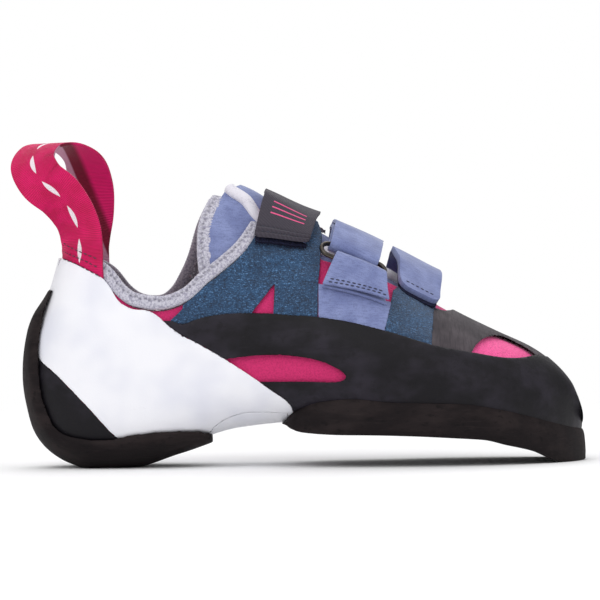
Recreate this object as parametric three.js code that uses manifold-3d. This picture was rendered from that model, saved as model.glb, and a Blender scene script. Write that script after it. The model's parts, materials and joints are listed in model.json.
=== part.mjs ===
// Climbing shoe for the right foot, in millimetres: +X to the toe, +Y to the inner side, +Z up.
// Every piece lies on one last, at its own height above the face of the upper.
import * as THREE from 'three';
import { mergeVertices } from 'three/addons/utils/BufferGeometryUtils.js';
import Module from 'manifold-3d';

const wasm = await Module();
wasm.setup();

// Driving sizes of the shoe
const shoeLength = 240;
const heelHeight = 96;
const instepHeight = 100;
const heelWidth = 62;
const ballWidth = 90;

// Walls and sheets
const upperWall = 1.8;
const insoleThick = 2;
const tongueThick = 2.5;
const heelCupThick = 1.8;
const randThick = 1.8;
const heelSoleThick = 2.9;
const toePatchThick = 1.4;
const pileThick = 1.2;
const slateThick = 0.9;
const strapThick = 2.4;
const webThick = 1.5;

// Collar, tongue edge and loop
const bindingTall = 5.4;
const bindingThick = 4;
const bindingPlay = 0.5;
const rearBindingTall = 5;
const rearBindingThick = 3.6;
const rollThick = 4.8;
const loopWidth = 20;
const loopThick = 1.3;
const loopHeight = 42;
const loopSpan = 44;
const loopSag = 1.6;
const loopPlay = 1.5;

// Straps and their ring
const topStrapWidth = 21;
const middleStrapWidth = 19;
const lowStrapWidth = 16.5;
const strapClearance = 7;
const ringWire = 2;
const ringReach = 7.8;
const ringPlay = 0.8;
const ringLift = 2.2;
const ringTabWidth = 25;
const strapRise = 2.5;
const tabThick = 1.4;

// Sole
const soleProud = 1.2;

// Clearances between pieces that touch
const layerGap = 0.3;
const seamGap = 0.3;

// Heights above the face of the upper that the layers share
const firstLayer = layerGap;
const randFace = firstLayer + randThick;
const heelSoleBack = firstLayer + heelCupThick + layerGap;
const heelSoleFace = heelSoleBack + heelSoleThick;
const insoleFace = -upperWall - layerGap;
const tongueFace = -upperWall - layerGap;
const toeStack = randFace + soleProud;
const lastLength = shoeLength - heelSoleFace - toeStack;

// Mesh fineness of the last
const lastRings = 22;
const lastSides = 20;

// Cross-sections of the last. at: share of its length; low, mid, high: shares of the height there;
// half, centre, crest: shares of the width there; under, over: fullness of the lower and upper curve.
const sections = [
  { at: 0, low: 0.415, mid: 0.415, high: 0.415, half: 0, centre: 0, crest: 0, under: 2.2, over: 2 },
  { at: 0.007, low: 0.28, mid: 0.405, high: 0.57, half: 0.15, centre: 0, crest: 0, under: 2.3, over: 2 },
  { at: 0.017, low: 0.19, mid: 0.385, high: 0.66, half: 0.225, centre: 0, crest: 0, under: 2.3, over: 2 },
  { at: 0.031, low: 0.137, mid: 0.365, high: 0.735, half: 0.285, centre: 0, crest: 0, under: 2.4, over: 2 },
  { at: 0.048, low: 0.1, mid: 0.35, high: 0.86, half: 0.335, centre: 0, crest: 0, under: 2.4, over: 2 },
  { at: 0.07, low: 0.07, mid: 0.34, high: 1.04, half: 0.375, centre: 0, crest: 0, under: 2.5, over: 2 },
  { at: 0.107, low: 0.044, mid: 0.33, high: 1.16, half: 0.42, centre: 0, crest: 0, under: 2.6, over: 2 },
  { at: 0.17, low: 0.047, mid: 0.335, high: 1.25, half: 0.448, centre: 0, crest: 0.01, under: 2.6, over: 2 },
  { at: 0.26, low: 0.107, mid: 0.36, high: 1.28, half: 0.455, centre: -0.01, crest: 0.03, under: 2.4, over: 2 },
  { at: 0.375, low: 0.183, mid: 0.4, high: 1.225, half: 0.452, centre: -0.02, crest: 0.07, under: 2.3, over: 2 },
  { at: 0.5, low: 0.205, mid: 0.4, high: 1.045, half: 0.425, centre: -0.035, crest: 0.1, under: 2.5, over: 2 },
  { at: 0.625, low: 0.2, mid: 0.36, high: 0.875, half: 0.435, centre: -0.03, crest: 0.115, under: 2.8, over: 2 },
  { at: 0.74, low: 0.185, mid: 0.33, high: 0.67, half: 0.458, centre: 0.005, crest: 0.11, under: 2.9, over: 2.1 },
  { at: 0.84, low: 0.157, mid: 0.29, high: 0.548, half: 0.42, centre: 0.047, crest: 0.1, under: 2.8, over: 2.2 },
  { at: 0.915, low: 0.112, mid: 0.235, high: 0.463, half: 0.335, centre: 0.092, crest: 0.075, under: 2.6, over: 2.2 },
  { at: 0.958, low: 0.08, mid: 0.195, high: 0.38, half: 0.247, centre: 0.125, crest: 0.036, under: 2.5, over: 2.2 },
  { at: 0.988, low: 0.09, mid: 0.173, high: 0.276, half: 0.14, centre: 0.15, crest: 0, under: 2.4, over: 2.1 },
  { at: 1, low: 0.16, mid: 0.16, high: 0.16, half: 0, centre: 0.15, crest: 0, under: 2.3, over: 2 },
];

// Lines seen from the side. at: share of the shoe's length; up: share of the height there.
const line = (...rows) => rows.map(([at, up]) => ({ at, up }));
const collarEdge = line([0.16, 0.815], [0.18, 0.745], [0.2, 0.705], [0.225, 0.686], [0.25, 0.678],
  [0.27, 0.684], [0.298, 0.712], [0.325, 0.768], [0.36, 0.828], [0.39, 0.888], [0.42, 0.985]);
const collarBack = line([0.066, 0.935], [0.098, 0.9], [0.125, 0.87], [0.152, 0.83]);
const innerCollarEdge = line([0.16, 0.815], [0.18, 0.745], [0.2, 0.705], [0.225, 0.686], [0.25, 0.69],
  [0.272, 0.73], [0.292, 0.81], [0.306, 0.89], [0.322, 1.01], [0.345, 1.11]);
const wingTop = line([0.432, 1.12], [0.5, 1.12], [0.524, 1.04], [0.532, 0.985], [0.529, 0.865]);
const throatEdge = line([0.58, 0.83], [0.648, 0.765], [0.7, 0.705], [0.742, 0.68]);
const innerThroatEdge = line(
  [0.37, 1.13], [0.44, 1.0], [0.54, 0.875], [0.648, 0.76], [0.7, 0.705], [0.742, 0.68]);
const rollLine = line([0.378, 1.175], [0.4, 1.135], [0.43, 1.05], [0.48, 0.985], [0.54, 0.91],
  [0.594, 0.865], [0.648, 0.815], [0.7, 0.735]);
const tongueFoot = line([0.3, 0.6], [0.4, 0.74], [0.53, 0.76], [0.648, 0.68], [0.735, 0.6]);
const innerTongueFoot = line(
  [0.3, 1.04], [0.37, 1.04], [0.44, 0.92], [0.54, 0.8], [0.648, 0.68], [0.735, 0.6]);
const tongueRear = line(
  [0.342, 0.74], [0.334, 0.85], [0.332, 0.95], [0.335, 1.04], [0.345, 1.11], [0.362, 1.17]);
const insoleEdge = line([0.03, 0.22], [0.12, 0.13], [0.25, 0.2], [0.4, 0.27], [0.6, 0.27], [0.75, 0.26],
  [0.88, 0.21], [0.96, 0.19]);
const randTop = line([0.267, 0.637], [0.287, 0.618], [0.319, 0.638], [0.365, 0.65], [0.427, 0.645],
  [0.475, 0.636], [0.522, 0.626], [0.58, 0.603], [0.65, 0.558], [0.72, 0.505], [0.785, 0.473],
  [0.847, 0.446], [0.88, 0.444], [0.908, 0.452], [0.934, 0.441]);
const cupFront = line([0.253, 0.637], [0.283, 0.575], [0.318, 0.525], [0.374, 0.438], [0.434, 0.335],
  [0.476, 0.249], [0.475, 0.12]);
const cupTop = line([0.066, 0.93], [0.098, 0.9], [0.125, 0.867], [0.151, 0.828], [0.163, 0.79],
  [0.175, 0.737], [0.188, 0.71], [0.204, 0.692], [0.225, 0.686], [0.24, 0.668], [0.253, 0.641]);
const heelBlack = line([0.052, 0.792], [0.039, 0.694], [0.03, 0.593], [0.029, 0.504], [0.07, 0.405],
  [0.122, 0.271], [0.172, 0.136], [0.2, 0.1], [0.33, 0.09]);
const heelSoleEdge = line([0.052, 0.792], [0.039, 0.694], [0.03, 0.593], [0.029, 0.504], [0.03, 0.398],
  [0.035, 0.305], [0.044, 0.243], [0.054, 0.189], [0.07, 0.15], [0.091, 0.134], [0.151, 0.121],
  [0.2, 0.142], [0.27, 0.15], [0.323, 0.139], [0.338, 0.125]);
const archLine = line([0.326, 0.136], [0.35, 0.19], [0.385, 0.226], [0.424, 0.232], [0.469, 0.225]);
const soleTop = line([0.465, 0.186], [0.469, 0.211], [0.483, 0.236], [0.526, 0.273], [0.579, 0.284],
  [0.648, 0.269], [0.719, 0.263], [0.777, 0.257], [0.809, 0.245], [0.858, 0.22], [0.933, 0.171], [0.994, 0.131]);
const soleUnder = line([0.465, 0.177], [0.475, 0.16], [0.493, 0.146], [0.557, 0.136], [0.612, 0.134],
  [0.684, 0.128], [0.759, 0.117], [0.808, 0.107], [0.845, 0.084], [0.875, 0.067], [0.895, 0.053],
  [0.918, 0.027], [0.932, 0.013], [0.948, 0]);
const windowRim = line([0.34, 0.452], [0.394, 0.466], [0.419, 0.47], [0.467, 0.468], [0.516, 0.45],
  [0.544, 0.425], [0.565, 0.395], [0.57, 0.378], [0.563, 0.361], [0.494, 0.359], [0.41, 0.361]);
const toeWindow = line([0.912, 0.43], [0.905, 0.452], [0.892, 0.478], [0.876, 0.5], [0.85, 0.531],
  [0.828, 0.536], [0.805, 0.515], [0.788, 0.46], [0.8, 0.41]);
const patchRear = line([0.718, 0.505], [0.729, 0.658], [0.738, 0.649], [0.758, 0.644], [0.774, 0.656]);
const pileFront = line([0.532, 0.985], [0.529, 0.864], [0.524, 0.741], [0.5225, 0.6]);
const pileNotch = line([0.4, 0.62], [0.449, 0.768], [0.445, 0.62]);
const slateRim = line([0.524, 0.766], [0.652, 0.683], [0.635, 0.54], [0.524, 0.54]);
const lowPileRim = line([0.655, 0.732], [0.668, 0.753], [0.732, 0.679], [0.718, 0.45], [0.65, 0.45],
  [0.637, 0.56]);
const innerSlateRim = line([0.39, 0.6], [0.4, 0.92], [0.5, 0.83], [0.54, 0.775], [0.54, 0.54]);
const innerPileRim = line([0.54, 0.54], [0.54, 0.76], [0.66, 0.67], [0.68, 0.5]);

const clamp = THREE.MathUtils.clamp;
const lerp = THREE.MathUtils.lerp;
const smooth = THREE.MathUtils.smoothstep;

// Height and width that the shares follow, blended from heel to forefoot
function riseAt(at) {
  return lerp(heelHeight, instepHeight, smooth(at, 0.15, 0.45));
}

function reachAt(at) {
  return lerp(heelWidth, ballWidth, smooth(at, 0.3, 0.65));
}

// A smooth function through the rows of a table that never overshoots them
function smoothColumn(rows, key, column) {
  const xs = rows.map(row => row[key]);
  const ys = rows.map(row => row[column]);
  const slopes = xs.slice(1).map((x, i) => (ys[i + 1] - ys[i]) / (x - xs[i]));
  const tangents = xs.map((x, i) => {
    const before = slopes[Math.max(i - 1, 0)];
    const after = slopes[Math.min(i, slopes.length - 1)];
    return before * after <= 0 ? 0 : 2 * before * after / (before + after);
  });
  return x => {
    let i = 0;
    while (i < xs.length - 2 && x > xs[i + 1]) i += 1;
    const span = xs[i + 1] - xs[i];
    const t = clamp((x - xs[i]) / span, 0, 1);
    const rest = 1 - t;
    return ys[i] * rest * rest * (1 + 2 * t) + ys[i + 1] * t * t * (1 + 2 * rest)
      + span * t * rest * (tangents[i] * rest - tangents[i + 1] * t);
  };
}

// Along the last, u runs evenly round its rounded ends
const turnOf = at => Math.acos(1 - 2 * clamp(at, 0, 1)) / Math.PI;
const shareOf = u => (1 - Math.cos(Math.PI * u)) / 2;
const columns = {};
const turned = sections.map(row => ({ ...row, u: turnOf(row.at) }));
for (const column of ['low', 'mid', 'high', 'half', 'centre', 'crest', 'under', 'over']) {
  columns[column] = smoothColumn(turned, 'u', column);
}

function sectionAt(u) {
  const at = shareOf(u);
  const rise = riseAt(at);
  const reach = reachAt(at);
  return {
    x: heelSoleFace + at * lastLength,
    low: columns.low(u) * rise,
    mid: columns.mid(u) * rise,
    high: columns.high(u) * rise,
    half: columns.half(u) * reach,
    centre: columns.centre(u) * reach,
    crest: (columns.crest(u) - columns.centre(u)) * reach,
    under: columns.under(u),
    over: columns.over(u),
  };
}

// Point of the bare last; angle 0 is the inner side, a quarter turn the crest, half a turn the outer side
function lastPoint(u, angle) {
  const cut = sectionAt(u);
  const c = Math.cos(angle);
  const s = Math.sin(angle);
  const power = s > 0 ? cut.over : cut.under;
  const radius = (Math.abs(c) ** power + Math.abs(s) ** power) ** (-1 / power);
  const v = s * radius;
  const shift = v > 0 ? cut.crest * v * v : 0;
  const height = v > 0 ? cut.high - cut.mid : cut.mid - cut.low;
  return new THREE.Vector3(cut.x, cut.centre + cut.half * c * radius + shift, cut.mid + height * v);
}

const probe = 1e-3;

function lastNormal(u, angle) {
  if (u < probe) return new THREE.Vector3(-1, 0, 0);
  if (u > 1 - probe) return new THREE.Vector3(1, 0, 0);
  const along = lastPoint(u + probe, angle).sub(lastPoint(u - probe, angle));
  const around = lastPoint(u, angle + probe).sub(lastPoint(u, angle - probe));
  return around.cross(along).normalize();
}

function skin(u, angle, height) {
  return lastPoint(u, angle).addScaledVector(lastNormal(u, angle), height);
}

// The place on the last that lies behind a point of the side view; side -1 is outer, +1 is inner
function placeAt({ at, up }, side) {
  const x = at * shoeLength;
  const u = turnOf((x - heelSoleFace) / lastLength);
  const cut = sectionAt(u);
  const z = up * riseAt(at);
  const v = z > cut.mid ? (z - cut.mid) / (cut.high - cut.mid) : (z - cut.mid) / (cut.mid - cut.low);
  const held = clamp(v, -1, 1);
  const power = held > 0 ? cut.over : cut.under;
  const across = (1 - Math.abs(held) ** power) ** (1 / power);
  return { u, angle: Math.atan2(held, side * across) };
}

// Solids by code
function solid(geometry) {
  const bare = new THREE.BufferGeometry();
  bare.setAttribute('position', geometry.getAttribute('position').clone());
  bare.setIndex(geometry.index ? geometry.index.clone() : null);
  const merged = mergeVertices(bare, 1e-5);
  return new wasm.Manifold(new wasm.Mesh({
    numProp: 3,
    vertProperties: new Float32Array(merged.getAttribute('position').array),
    triVerts: new Uint32Array(merged.index.array),
  }));
}

// The main body of a cut, without crumbs along its edges
function whole(body) {
  return body.decompose().reduce((most, next) => (next.volume() > most.volume() ? next : most));
}

function geometryOf(body) {
  const mesh = whole(body).getMesh();
  const geometry = new THREE.BufferGeometry();
  geometry.setAttribute('position', new THREE.BufferAttribute(new Float32Array(mesh.vertProperties), 3));
  geometry.setIndex(new THREE.BufferAttribute(new Uint32Array(mesh.triVerts), 1));
  geometry.computeVertexNormals();
  return geometry;
}

function mapped(geometry, place) {
  const position = geometry.getAttribute('position');
  const point = new THREE.Vector3();
  for (let i = 0; i < position.count; i += 1) {
    point.fromBufferAttribute(position, i);
    position.setXYZ(i, ...place(point).toArray());
  }
  return geometry;
}

// The closed last, grown or shrunk by a height
const lastSolids = new Map();

function lastSolid(height) {
  if (!lastSolids.has(height)) {
    const ball = new THREE.SphereGeometry(1, lastSides, lastRings);
    const body = mapped(ball, point => {
      const u = Math.acos(clamp(point.y, -1, 1)) / Math.PI;
      return skin(u, Math.atan2(point.z, point.x), height);
    });
    lastSolids.set(height, solid(body));
  }
  return lastSolids.get(height);
}

const shell = (from, to) => lastSolid(to).subtract(lastSolid(from));

// Outlines of the side view, in millimetres
const sidePoint = ({ at, up }) => new THREE.Vector2(at * shoeLength, up * riseAt(at));
const sidePoints = rows => rows.map(sidePoint);
const beyond = 60;
const below = -40;
const above = 200;
const farLeft = -beyond;
const farRight = shoeLength + beyond;

function grown(points, gap) {
  const clockwise = THREE.ShapeUtils.area(points) < 0 ? 1 : -1;
  return points.map((point, i) => {
    const before = points[(i + points.length - 1) % points.length];
    const after = points[(i + 1) % points.length];
    const first = point.clone().sub(before).normalize();
    const second = after.clone().sub(point).normalize();
    const mean = first.add(second).normalize();
    return new THREE.Vector2(point.x - clockwise * mean.y * gap, point.y + clockwise * mean.x * gap);
  });
}

// A block with an outline of the side view, between two places across the shoe
function sideBlock(points, from = -ballWidth, to = ballWidth) {
  const block = new THREE.ExtrudeGeometry(new THREE.Shape(points), { depth: to - from, bevelEnabled: false });
  block.rotateX(Math.PI / 2);
  block.translate(0, to, 0);
  return solid(block);
}

// Which side of the crest a piece belongs to: a curtain that follows the crest line
function crestCurtain(side) {
  const rows = [];
  const steps = 24;
  for (let i = 0; i <= steps; i += 1) {
    const cut = sectionAt(i / steps);
    rows.push(new THREE.Vector2(cut.x, -(cut.centre + cut.crest)));
  }
  rows[0].x = farLeft;
  rows[steps].x = farRight;
  const beyond = -side * 2 * ballWidth;
  rows.push(new THREE.Vector2(farRight, beyond), new THREE.Vector2(farLeft, beyond));
  const block = new THREE.ExtrudeGeometry(new THREE.Shape(rows), { depth: above - below, bevelEnabled: false });
  block.rotateX(Math.PI);
  block.translate(0, 0, above);
  return solid(block);
}

const outerHalf = crestCurtain(-1);
const innerHalf = crestCurtain(1);

// Regions that several pieces share
const corner = (x, z) => new THREE.Vector2(x, z);
const heelRandRegion = [...sidePoints(heelBlack), corner(0.33 * shoeLength, below), corner(farLeft, below),
  corner(farLeft, sidePoint(heelBlack[0]).y)];
const heelSoleRegion = [...sidePoints(heelSoleEdge), corner(0.338 * shoeLength, below), corner(farLeft, below),
  corner(farLeft, sidePoint(heelSoleEdge[0]).y)];
const cupRegion = [...sidePoints(cupTop), ...sidePoints(cupFront), corner(sidePoint(cupFront.at(-1)).x, below),
  corner(farLeft, below), corner(farLeft, sidePoint(cupTop[0]).y)];
const archRegion = [...sidePoints(archLine), corner(sidePoint(cupFront.at(-1)).x, below),
  corner(sidePoint(archLine[0]).x, below)];
const randRegion = [...sidePoints(randTop), corner(sidePoint(randTop.at(-1)).x, instepHeight),
  corner(farRight, instepHeight), corner(farRight, below), corner(0.2 * shoeLength, below),
  corner(0.2 * shoeLength, sidePoint(randTop[0]).y)];
const windowRegion = sidePoints(windowRim);
const toeWindowRegion = sidePoints(toeWindow);
const patchRegion = [...sidePoints(patchRear), corner(0.774 * shoeLength, above), corner(farRight, above),
  corner(farRight, below), corner(0.718 * shoeLength, below)];

const widened = region => sideBlock(grown(region, seamGap));

// Joined cutter with one outline on the outer side of the crest and another on the inner side
function bothSides(outerOutline, innerOutline) {
  return sideBlock(outerOutline).intersect(outerHalf).add(sideBlock(innerOutline).intersect(innerHalf));
}

// Sock of the upper, open at the collar and the throat; with room, the space that it keeps free of others
function makeUpper(room = 0) {
  const back = sidePoints(collarBack);
  const open = (edge, throat) => grown([corner(farLeft, back[0].y), ...back, ...sidePoints(edge),
    ...sidePoints(throat), corner(sidePoint(throat.at(-1)).x, above), corner(farLeft, above)], -room);
  const outerOpen = open(collarEdge, [...wingTop, ...throatEdge]);
  const innerOpen = open(innerCollarEdge, innerThroatEdge);
  return shell(-upperWall - room, room).subtract(bothSides(outerOpen, innerOpen));
}

function makeInsole() {
  const region = [...sidePoints(insoleEdge), corner(farRight, below), corner(farLeft, below)];
  return shell(insoleFace - insoleThick, insoleFace).intersect(sideBlock(region));
}

// Line of the side view as a function from u to the angle on the last
function angleAlong(rows, side) {
  const places = rows.map(row => placeAt(row, side)).map(({ u, angle }) => ({
    u,
    angle: angle < -Math.PI / 2 ? angle + 2 * Math.PI : angle,
  }));
  return smoothColumn(places, 'u', 'angle');
}

const uAt = at => turnOf((at * shoeLength - heelSoleFace) / lastLength);
const rollAngle = angleAlong(rollLine, -1);

// The tongue is split: its outer half ends at the roll, its inner half crosses the crest
const rearShape = [corner(0, above), corner(0, below), corner(sidePoint(tongueRear[0]).x, below),
  ...sidePoints(tongueRear), corner(sidePoint(tongueRear.at(-1)).x, above)];
const rollEnd = sidePoint(rollLine.at(-1));
const aboveRoll = [...sidePoints(rollLine), corner(rollEnd.x, above), corner(0, above),
  corner(0, sidePoint(rollLine[0]).y)];

function makeTongueOuter() {
  const foot = sidePoints(tongueFoot);
  const region = [...foot, rollEnd, corner(rollEnd.x, above), corner(foot[0].x, above)];
  return shell(tongueFace - tongueThick, tongueFace)
    .intersect(sideBlock(region).intersect(outerHalf))
    .subtract(sideBlock(grown(aboveRoll, seamGap)));
}

function makeTongueInner() {
  const foot = sidePoints(innerTongueFoot);
  const innerRegion = [...foot, corner(foot.at(-1).x, above), corner(foot[0].x, above)];
  return shell(tongueFace - tongueThick, tongueFace).intersect(bothSides(aboveRoll, innerRegion));
}

// A tube laid on the last: each place has its angle and height there, and the tube's width and thickness
function laidTube(places, steps, sides = 8) {
  const route = new THREE.CatmullRomCurve3(places.map(({ u, angle, height }) => skin(u, angle, height)));
  const outward = new THREE.CatmullRomCurve3(places.map(({ u, angle }) => lastNormal(u, angle)));
  const sizes = new THREE.CatmullRomCurve3(places.map(({ tall, thick }) => new THREE.Vector3(tall, thick, 0)));
  const bar = new THREE.CylinderGeometry(0.5, 0.5, 1, sides, steps);
  return solid(mapped(bar, ({ x, y, z }) => {
    const t = y + 0.5;
    const out = outward.getPoint(t).normalize();
    const side = out.clone().cross(route.getTangent(t)).normalize();
    const size = sizes.getPoint(t);
    return route.getPoint(t).addScaledVector(out, x * size.y).addScaledVector(side, z * size.x);
  }));
}

const raised = (rows, lift) => rows.map(({ at, up }) => ({ at, up: up + lift / instepHeight }));

// Terry binding round the collar, seated on the cut rim of the upper
function makeCollarBinding(room = 0) {
  const height = bindingThick / 2 - upperWall;
  const size = { height, tall: bindingTall + 2 * room, thick: bindingThick + 2 * room };
  const lift = bindingTall / 2 + seamGap + bindingPlay;
  const outer = raised([...collarBack.slice(1), ...collarEdge.slice(1)], lift).reverse();
  const inner = raised([...collarBack.slice(1), ...innerCollarEdge.slice(1)], lift);
  const back = { ...placeAt(raised(collarBack, lift)[0], 1), angle: Math.PI / 2, ...size };
  const places = [...outer.map(row => ({ ...placeAt(row, -1), ...size })), back,
    ...inner.map(row => ({ ...placeAt(row, 1), ...size }))];
  return laidTube(places, 34);
}

function makeTongueRearBinding(room = 0) {
  const size = {
    height: tongueFace - layerGap - rearBindingThick / 2,
    tall: rearBindingTall + 2 * room,
    thick: rearBindingThick + 2 * room,
  };
  const rows = tongueRear.map(({ at, up }) => ({ at: at - rearBindingTall / 4 / shoeLength, up }));
  return laidTube(rows.map(row => ({ ...placeAt(row, -1), ...size })), 9, 6);
}

// Soft roll along the free edge of the tongue, flat where the wing of the upper crosses it
function makeTongueRoll(room = 0) {
  const wing = at => smooth(at, 0.41, 0.44) * (1 - smooth(at, 0.515, 0.54));
  const places = rollLine.map(({ at }) => {
    const thick = lerp(rollThick, tongueThick, wing(at));
    const height = tongueFace - tongueThick + thick / 2;
    const size = { height, tall: rollThick + 2 * room, thick: thick + 2 * room };
    return { u: uAt(at), angle: rollAngle(uAt(at)), ...size };
  });
  return laidTube(places, 18, 6);
}

// Region of the black band round the forefoot, open at its side window
function makeRand() {
  return shell(firstLayer, randFace)
    .subtract(lastSolid(layerGap / 2))
    .intersect(sideBlock(randRegion))
    .subtract(widened(cupRegion))
    .subtract(sideBlock(windowRegion));
}

function makeToePatch() {
  return shell(firstLayer, firstLayer + toePatchThick)
    .intersect(sideBlock(patchRegion))
    .subtract(widened(randRegion))
    .subtract(sideBlock(toeWindowRegion));
}

function makeHeelCup() {
  return shell(firstLayer, firstLayer + heelCupThick)
    .intersect(sideBlock(cupRegion))
    .subtract(widened(heelRandRegion))
    .subtract(widened(archRegion));
}

function makeArchWrap() {
  return shell(firstLayer, firstLayer + heelCupThick)
    .intersect(sideBlock(archRegion))
    .subtract(widened(heelRandRegion));
}

function makeHeelRand() {
  return shell(firstLayer, firstLayer + heelCupThick).intersect(sideBlock(heelRandRegion));
}

const floor = sideBlock(
  [corner(farLeft, 0), corner(farRight, 0), corner(farRight, below), corner(farLeft, below)]);

function makeHeelSole() {
  return shell(heelSoleBack, heelSoleFace).intersect(sideBlock(heelSoleRegion)).subtract(floor);
}

// Plan of the forefoot sole: where its upper edge meets the band, set out by the sole's step
function solePlan() {
  const top = smoothColumn(soleTop.map(row => ({ x: row.at * shoeLength, z: sidePoint(row).y })), 'x', 'z');
  const edge = side => {
    const points = [];
    for (let u = 0.47; u < 0.985; u += 0.02) {
      let lowest = -Math.PI / 2;
      let highest = side > 0 ? Math.PI / 6 : -Math.PI - Math.PI / 6;
      const gap = angle => {
        const point = skin(u, angle, toeStack);
        return point.z - top(point.x);
      };
      if (gap(lowest) > 0) break;
      for (let i = 0; i < 24; i += 1) {
        const half = (lowest + highest) / 2;
        if (gap(half) > 0) highest = half;
        else lowest = half;
      }
      const found = skin(u, lowest, toeStack);
      points.push(new THREE.Vector2(found.x, -found.y));
    }
    return points;
  };
  return [...edge(-1), ...edge(1).reverse()];
}

function makeOutsole() {
  const settings = { depth: instepHeight, bevelEnabled: false };
  const plan = new THREE.ExtrudeGeometry(new THREE.Shape(solePlan()), settings);
  plan.rotateX(Math.PI);
  plan.translate(0, 0, instepHeight);
  const toe = corner(farRight, sidePoint(soleTop.at(-1)).y);
  const band = [...sidePoints(soleTop), toe, corner(farRight, 0), ...sidePoints(soleUnder).reverse()];
  return solid(plan).intersect(sideBlock(band)).subtract(lastSolid(randFace + layerGap));
}

// Panels of the outer side, from the band's edge up
function makePanel(points, thick, neighbours = [], half = outerHalf) {
  let panel = shell(firstLayer, firstLayer + thick)
    .intersect(sideBlock(points).intersect(half))
    .subtract(widened(randRegion))
    .subtract(widened(cupRegion));
  for (const neighbour of neighbours) panel = panel.subtract(widened(neighbour));
  return panel;
}

const pileTopOutline = [...sidePoints(collarEdge.slice(3)), ...sidePoints(wingTop.slice(0, 3)),
  ...sidePoints(pileFront), ...sidePoints(pileNotch).reverse(),
  corner(0.26 * shoeLength, sidePoint(randTop[0]).y - 2)];
const slateOutline = sidePoints(slateRim);
const lowPileOutline = sidePoints(lowPileRim);

// Place on the last at a distance round it from the crest, measured at the height of the straps
const marchStep = THREE.MathUtils.degToRad(3);
const marches = new Map();

function marchAt(u) {
  if (!marches.has(u)) {
    const rows = [{ girth: 0, angle: Math.PI / 2 }];
    for (const side of [-1, 1]) {
      let last = skin(u, Math.PI / 2, strapClearance);
      let girth = 0;
      for (let i = 1; i <= 40; i += 1) {
        const angle = Math.PI / 2 - side * i * marchStep;
        const next = skin(u, angle, strapClearance);
        girth += side * next.distanceTo(last);
        last = next;
        rows.push({ girth, angle });
      }
    }
    marches.set(u, rows.sort((a, b) => a.girth - b.girth));
  }
  return marches.get(u);
}

function wrap(x, girth, height) {
  const u = Number(turnOf((x - heelSoleFace) / lastLength).toFixed(5));
  const rows = marchAt(u);
  let i = 0;
  while (i < rows.length - 2 && girth > rows[i + 1].girth) i += 1;
  const t = (girth - rows[i].girth) / (rows[i + 1].girth - rows[i].girth);
  return skin(u, lerp(rows[i].angle, rows[i + 1].angle, t), height);
}

// A strap across the instep: its route is a curve of girth and height, its width lies along the shoe
function strapAlong({ at, width, thick, route, slant = 0, flare = 0, steps = 3, across = 3 }) {
  const curve = new THREE.CatmullRomCurve3(route.map(([girth, height]) => new THREE.Vector3(girth, height, 0)));
  const bar = new THREE.BoxGeometry(1, 1, 1, across, steps * (route.length - 1), 1);
  const middle = at * shoeLength;
  return solid(mapped(bar, ({ x, y, z }) => {
    const t = y + 0.5;
    const place = curve.getPoint(t);
    const tangent = curve.getTangent(t);
    const girth = place.x - tangent.y * z * thick;
    const height = place.y + tangent.x * z * thick;
    const wide = width + flare * (girth - route[0][0]);
    return wrap(middle + slant * Math.min(girth, 0) + x * wide, girth, height);
  }));
}

const slateFace = firstLayer + slateThick;
const pileFace = firstLayer + pileThick;
const barGirth = -0.36 * ballWidth;
const tabGirth = barGirth - ringReach;
const webOnSlate = slateFace + layerGap + webThick / 2;
const barHeight = webOnSlate + webThick / 2 + ringPlay + ringWire / 2 + ringLift;
const turnRadius = ringWire / 2 + ringPlay + webThick / 2;
const webPitch = webThick + 2 * layerGap;

// The middle strap comes from the inner side, turns round the ring's upper bar and lies back on itself
function makeMiddleStrap() {
  const arch = barHeight - turnRadius + strapRise;
  const back = pileFace + layerGap + webThick / 2;
  const route = [
    [0.4 * ballWidth, back],
    [0.3 * ballWidth, back + 0.3 * strapRise],
    [0.16 * ballWidth, arch - 0.1 * strapRise],
    [0, arch],
    [-0.14 * ballWidth, arch - 0.1 * strapRise],
    [barGirth + 2 * turnRadius, barHeight - turnRadius],
    [barGirth, barHeight - turnRadius],
    [barGirth - 0.7 * turnRadius, barHeight - 0.7 * turnRadius],
    [barGirth - turnRadius, barHeight],
    [barGirth - 0.7 * turnRadius, barHeight + 0.7 * turnRadius],
    [barGirth, barHeight + turnRadius],
    [barGirth + 2 * turnRadius, barHeight + turnRadius],
    [-0.14 * ballWidth, arch + webPitch],
    [0, arch + webPitch],
    [0.16 * ballWidth, arch + webPitch],
    [0.3 * ballWidth, back + 0.3 * strapRise + 1.4 * webPitch],
    [0.4 * ballWidth, back + 1.1 * webPitch],
    [0.46 * ballWidth, back + 0.6 * layerGap],
    [0.53 * ballWidth, back],
  ];
  const web = { at: 0.585, width: middleStrapWidth, thick: webThick, route, slant: 0.06 };
  return strapAlong({ ...web, steps: 2, across: 2 });
}

// Web tab that holds the ring's lower bar on the slate panel
function makeRingTab() {
  const foot = -0.56 * ballWidth;
  const route = [
    [foot, webOnSlate],
    [tabGirth - 2 * turnRadius, webOnSlate],
    [tabGirth, barHeight - turnRadius],
    [tabGirth + 0.7 * turnRadius, barHeight - 0.7 * turnRadius],
    [tabGirth + turnRadius, barHeight],
    [tabGirth + 0.7 * turnRadius, barHeight + 0.7 * turnRadius],
    [tabGirth, barHeight + turnRadius],
    [tabGirth - 2 * turnRadius, webOnSlate + webPitch + turnRadius],
    [foot, webOnSlate + webPitch],
  ];
  return strapAlong({ at: 0.578, width: ringTabWidth, thick: webThick, route, flare: -0.6, steps: 2 });
}

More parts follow.
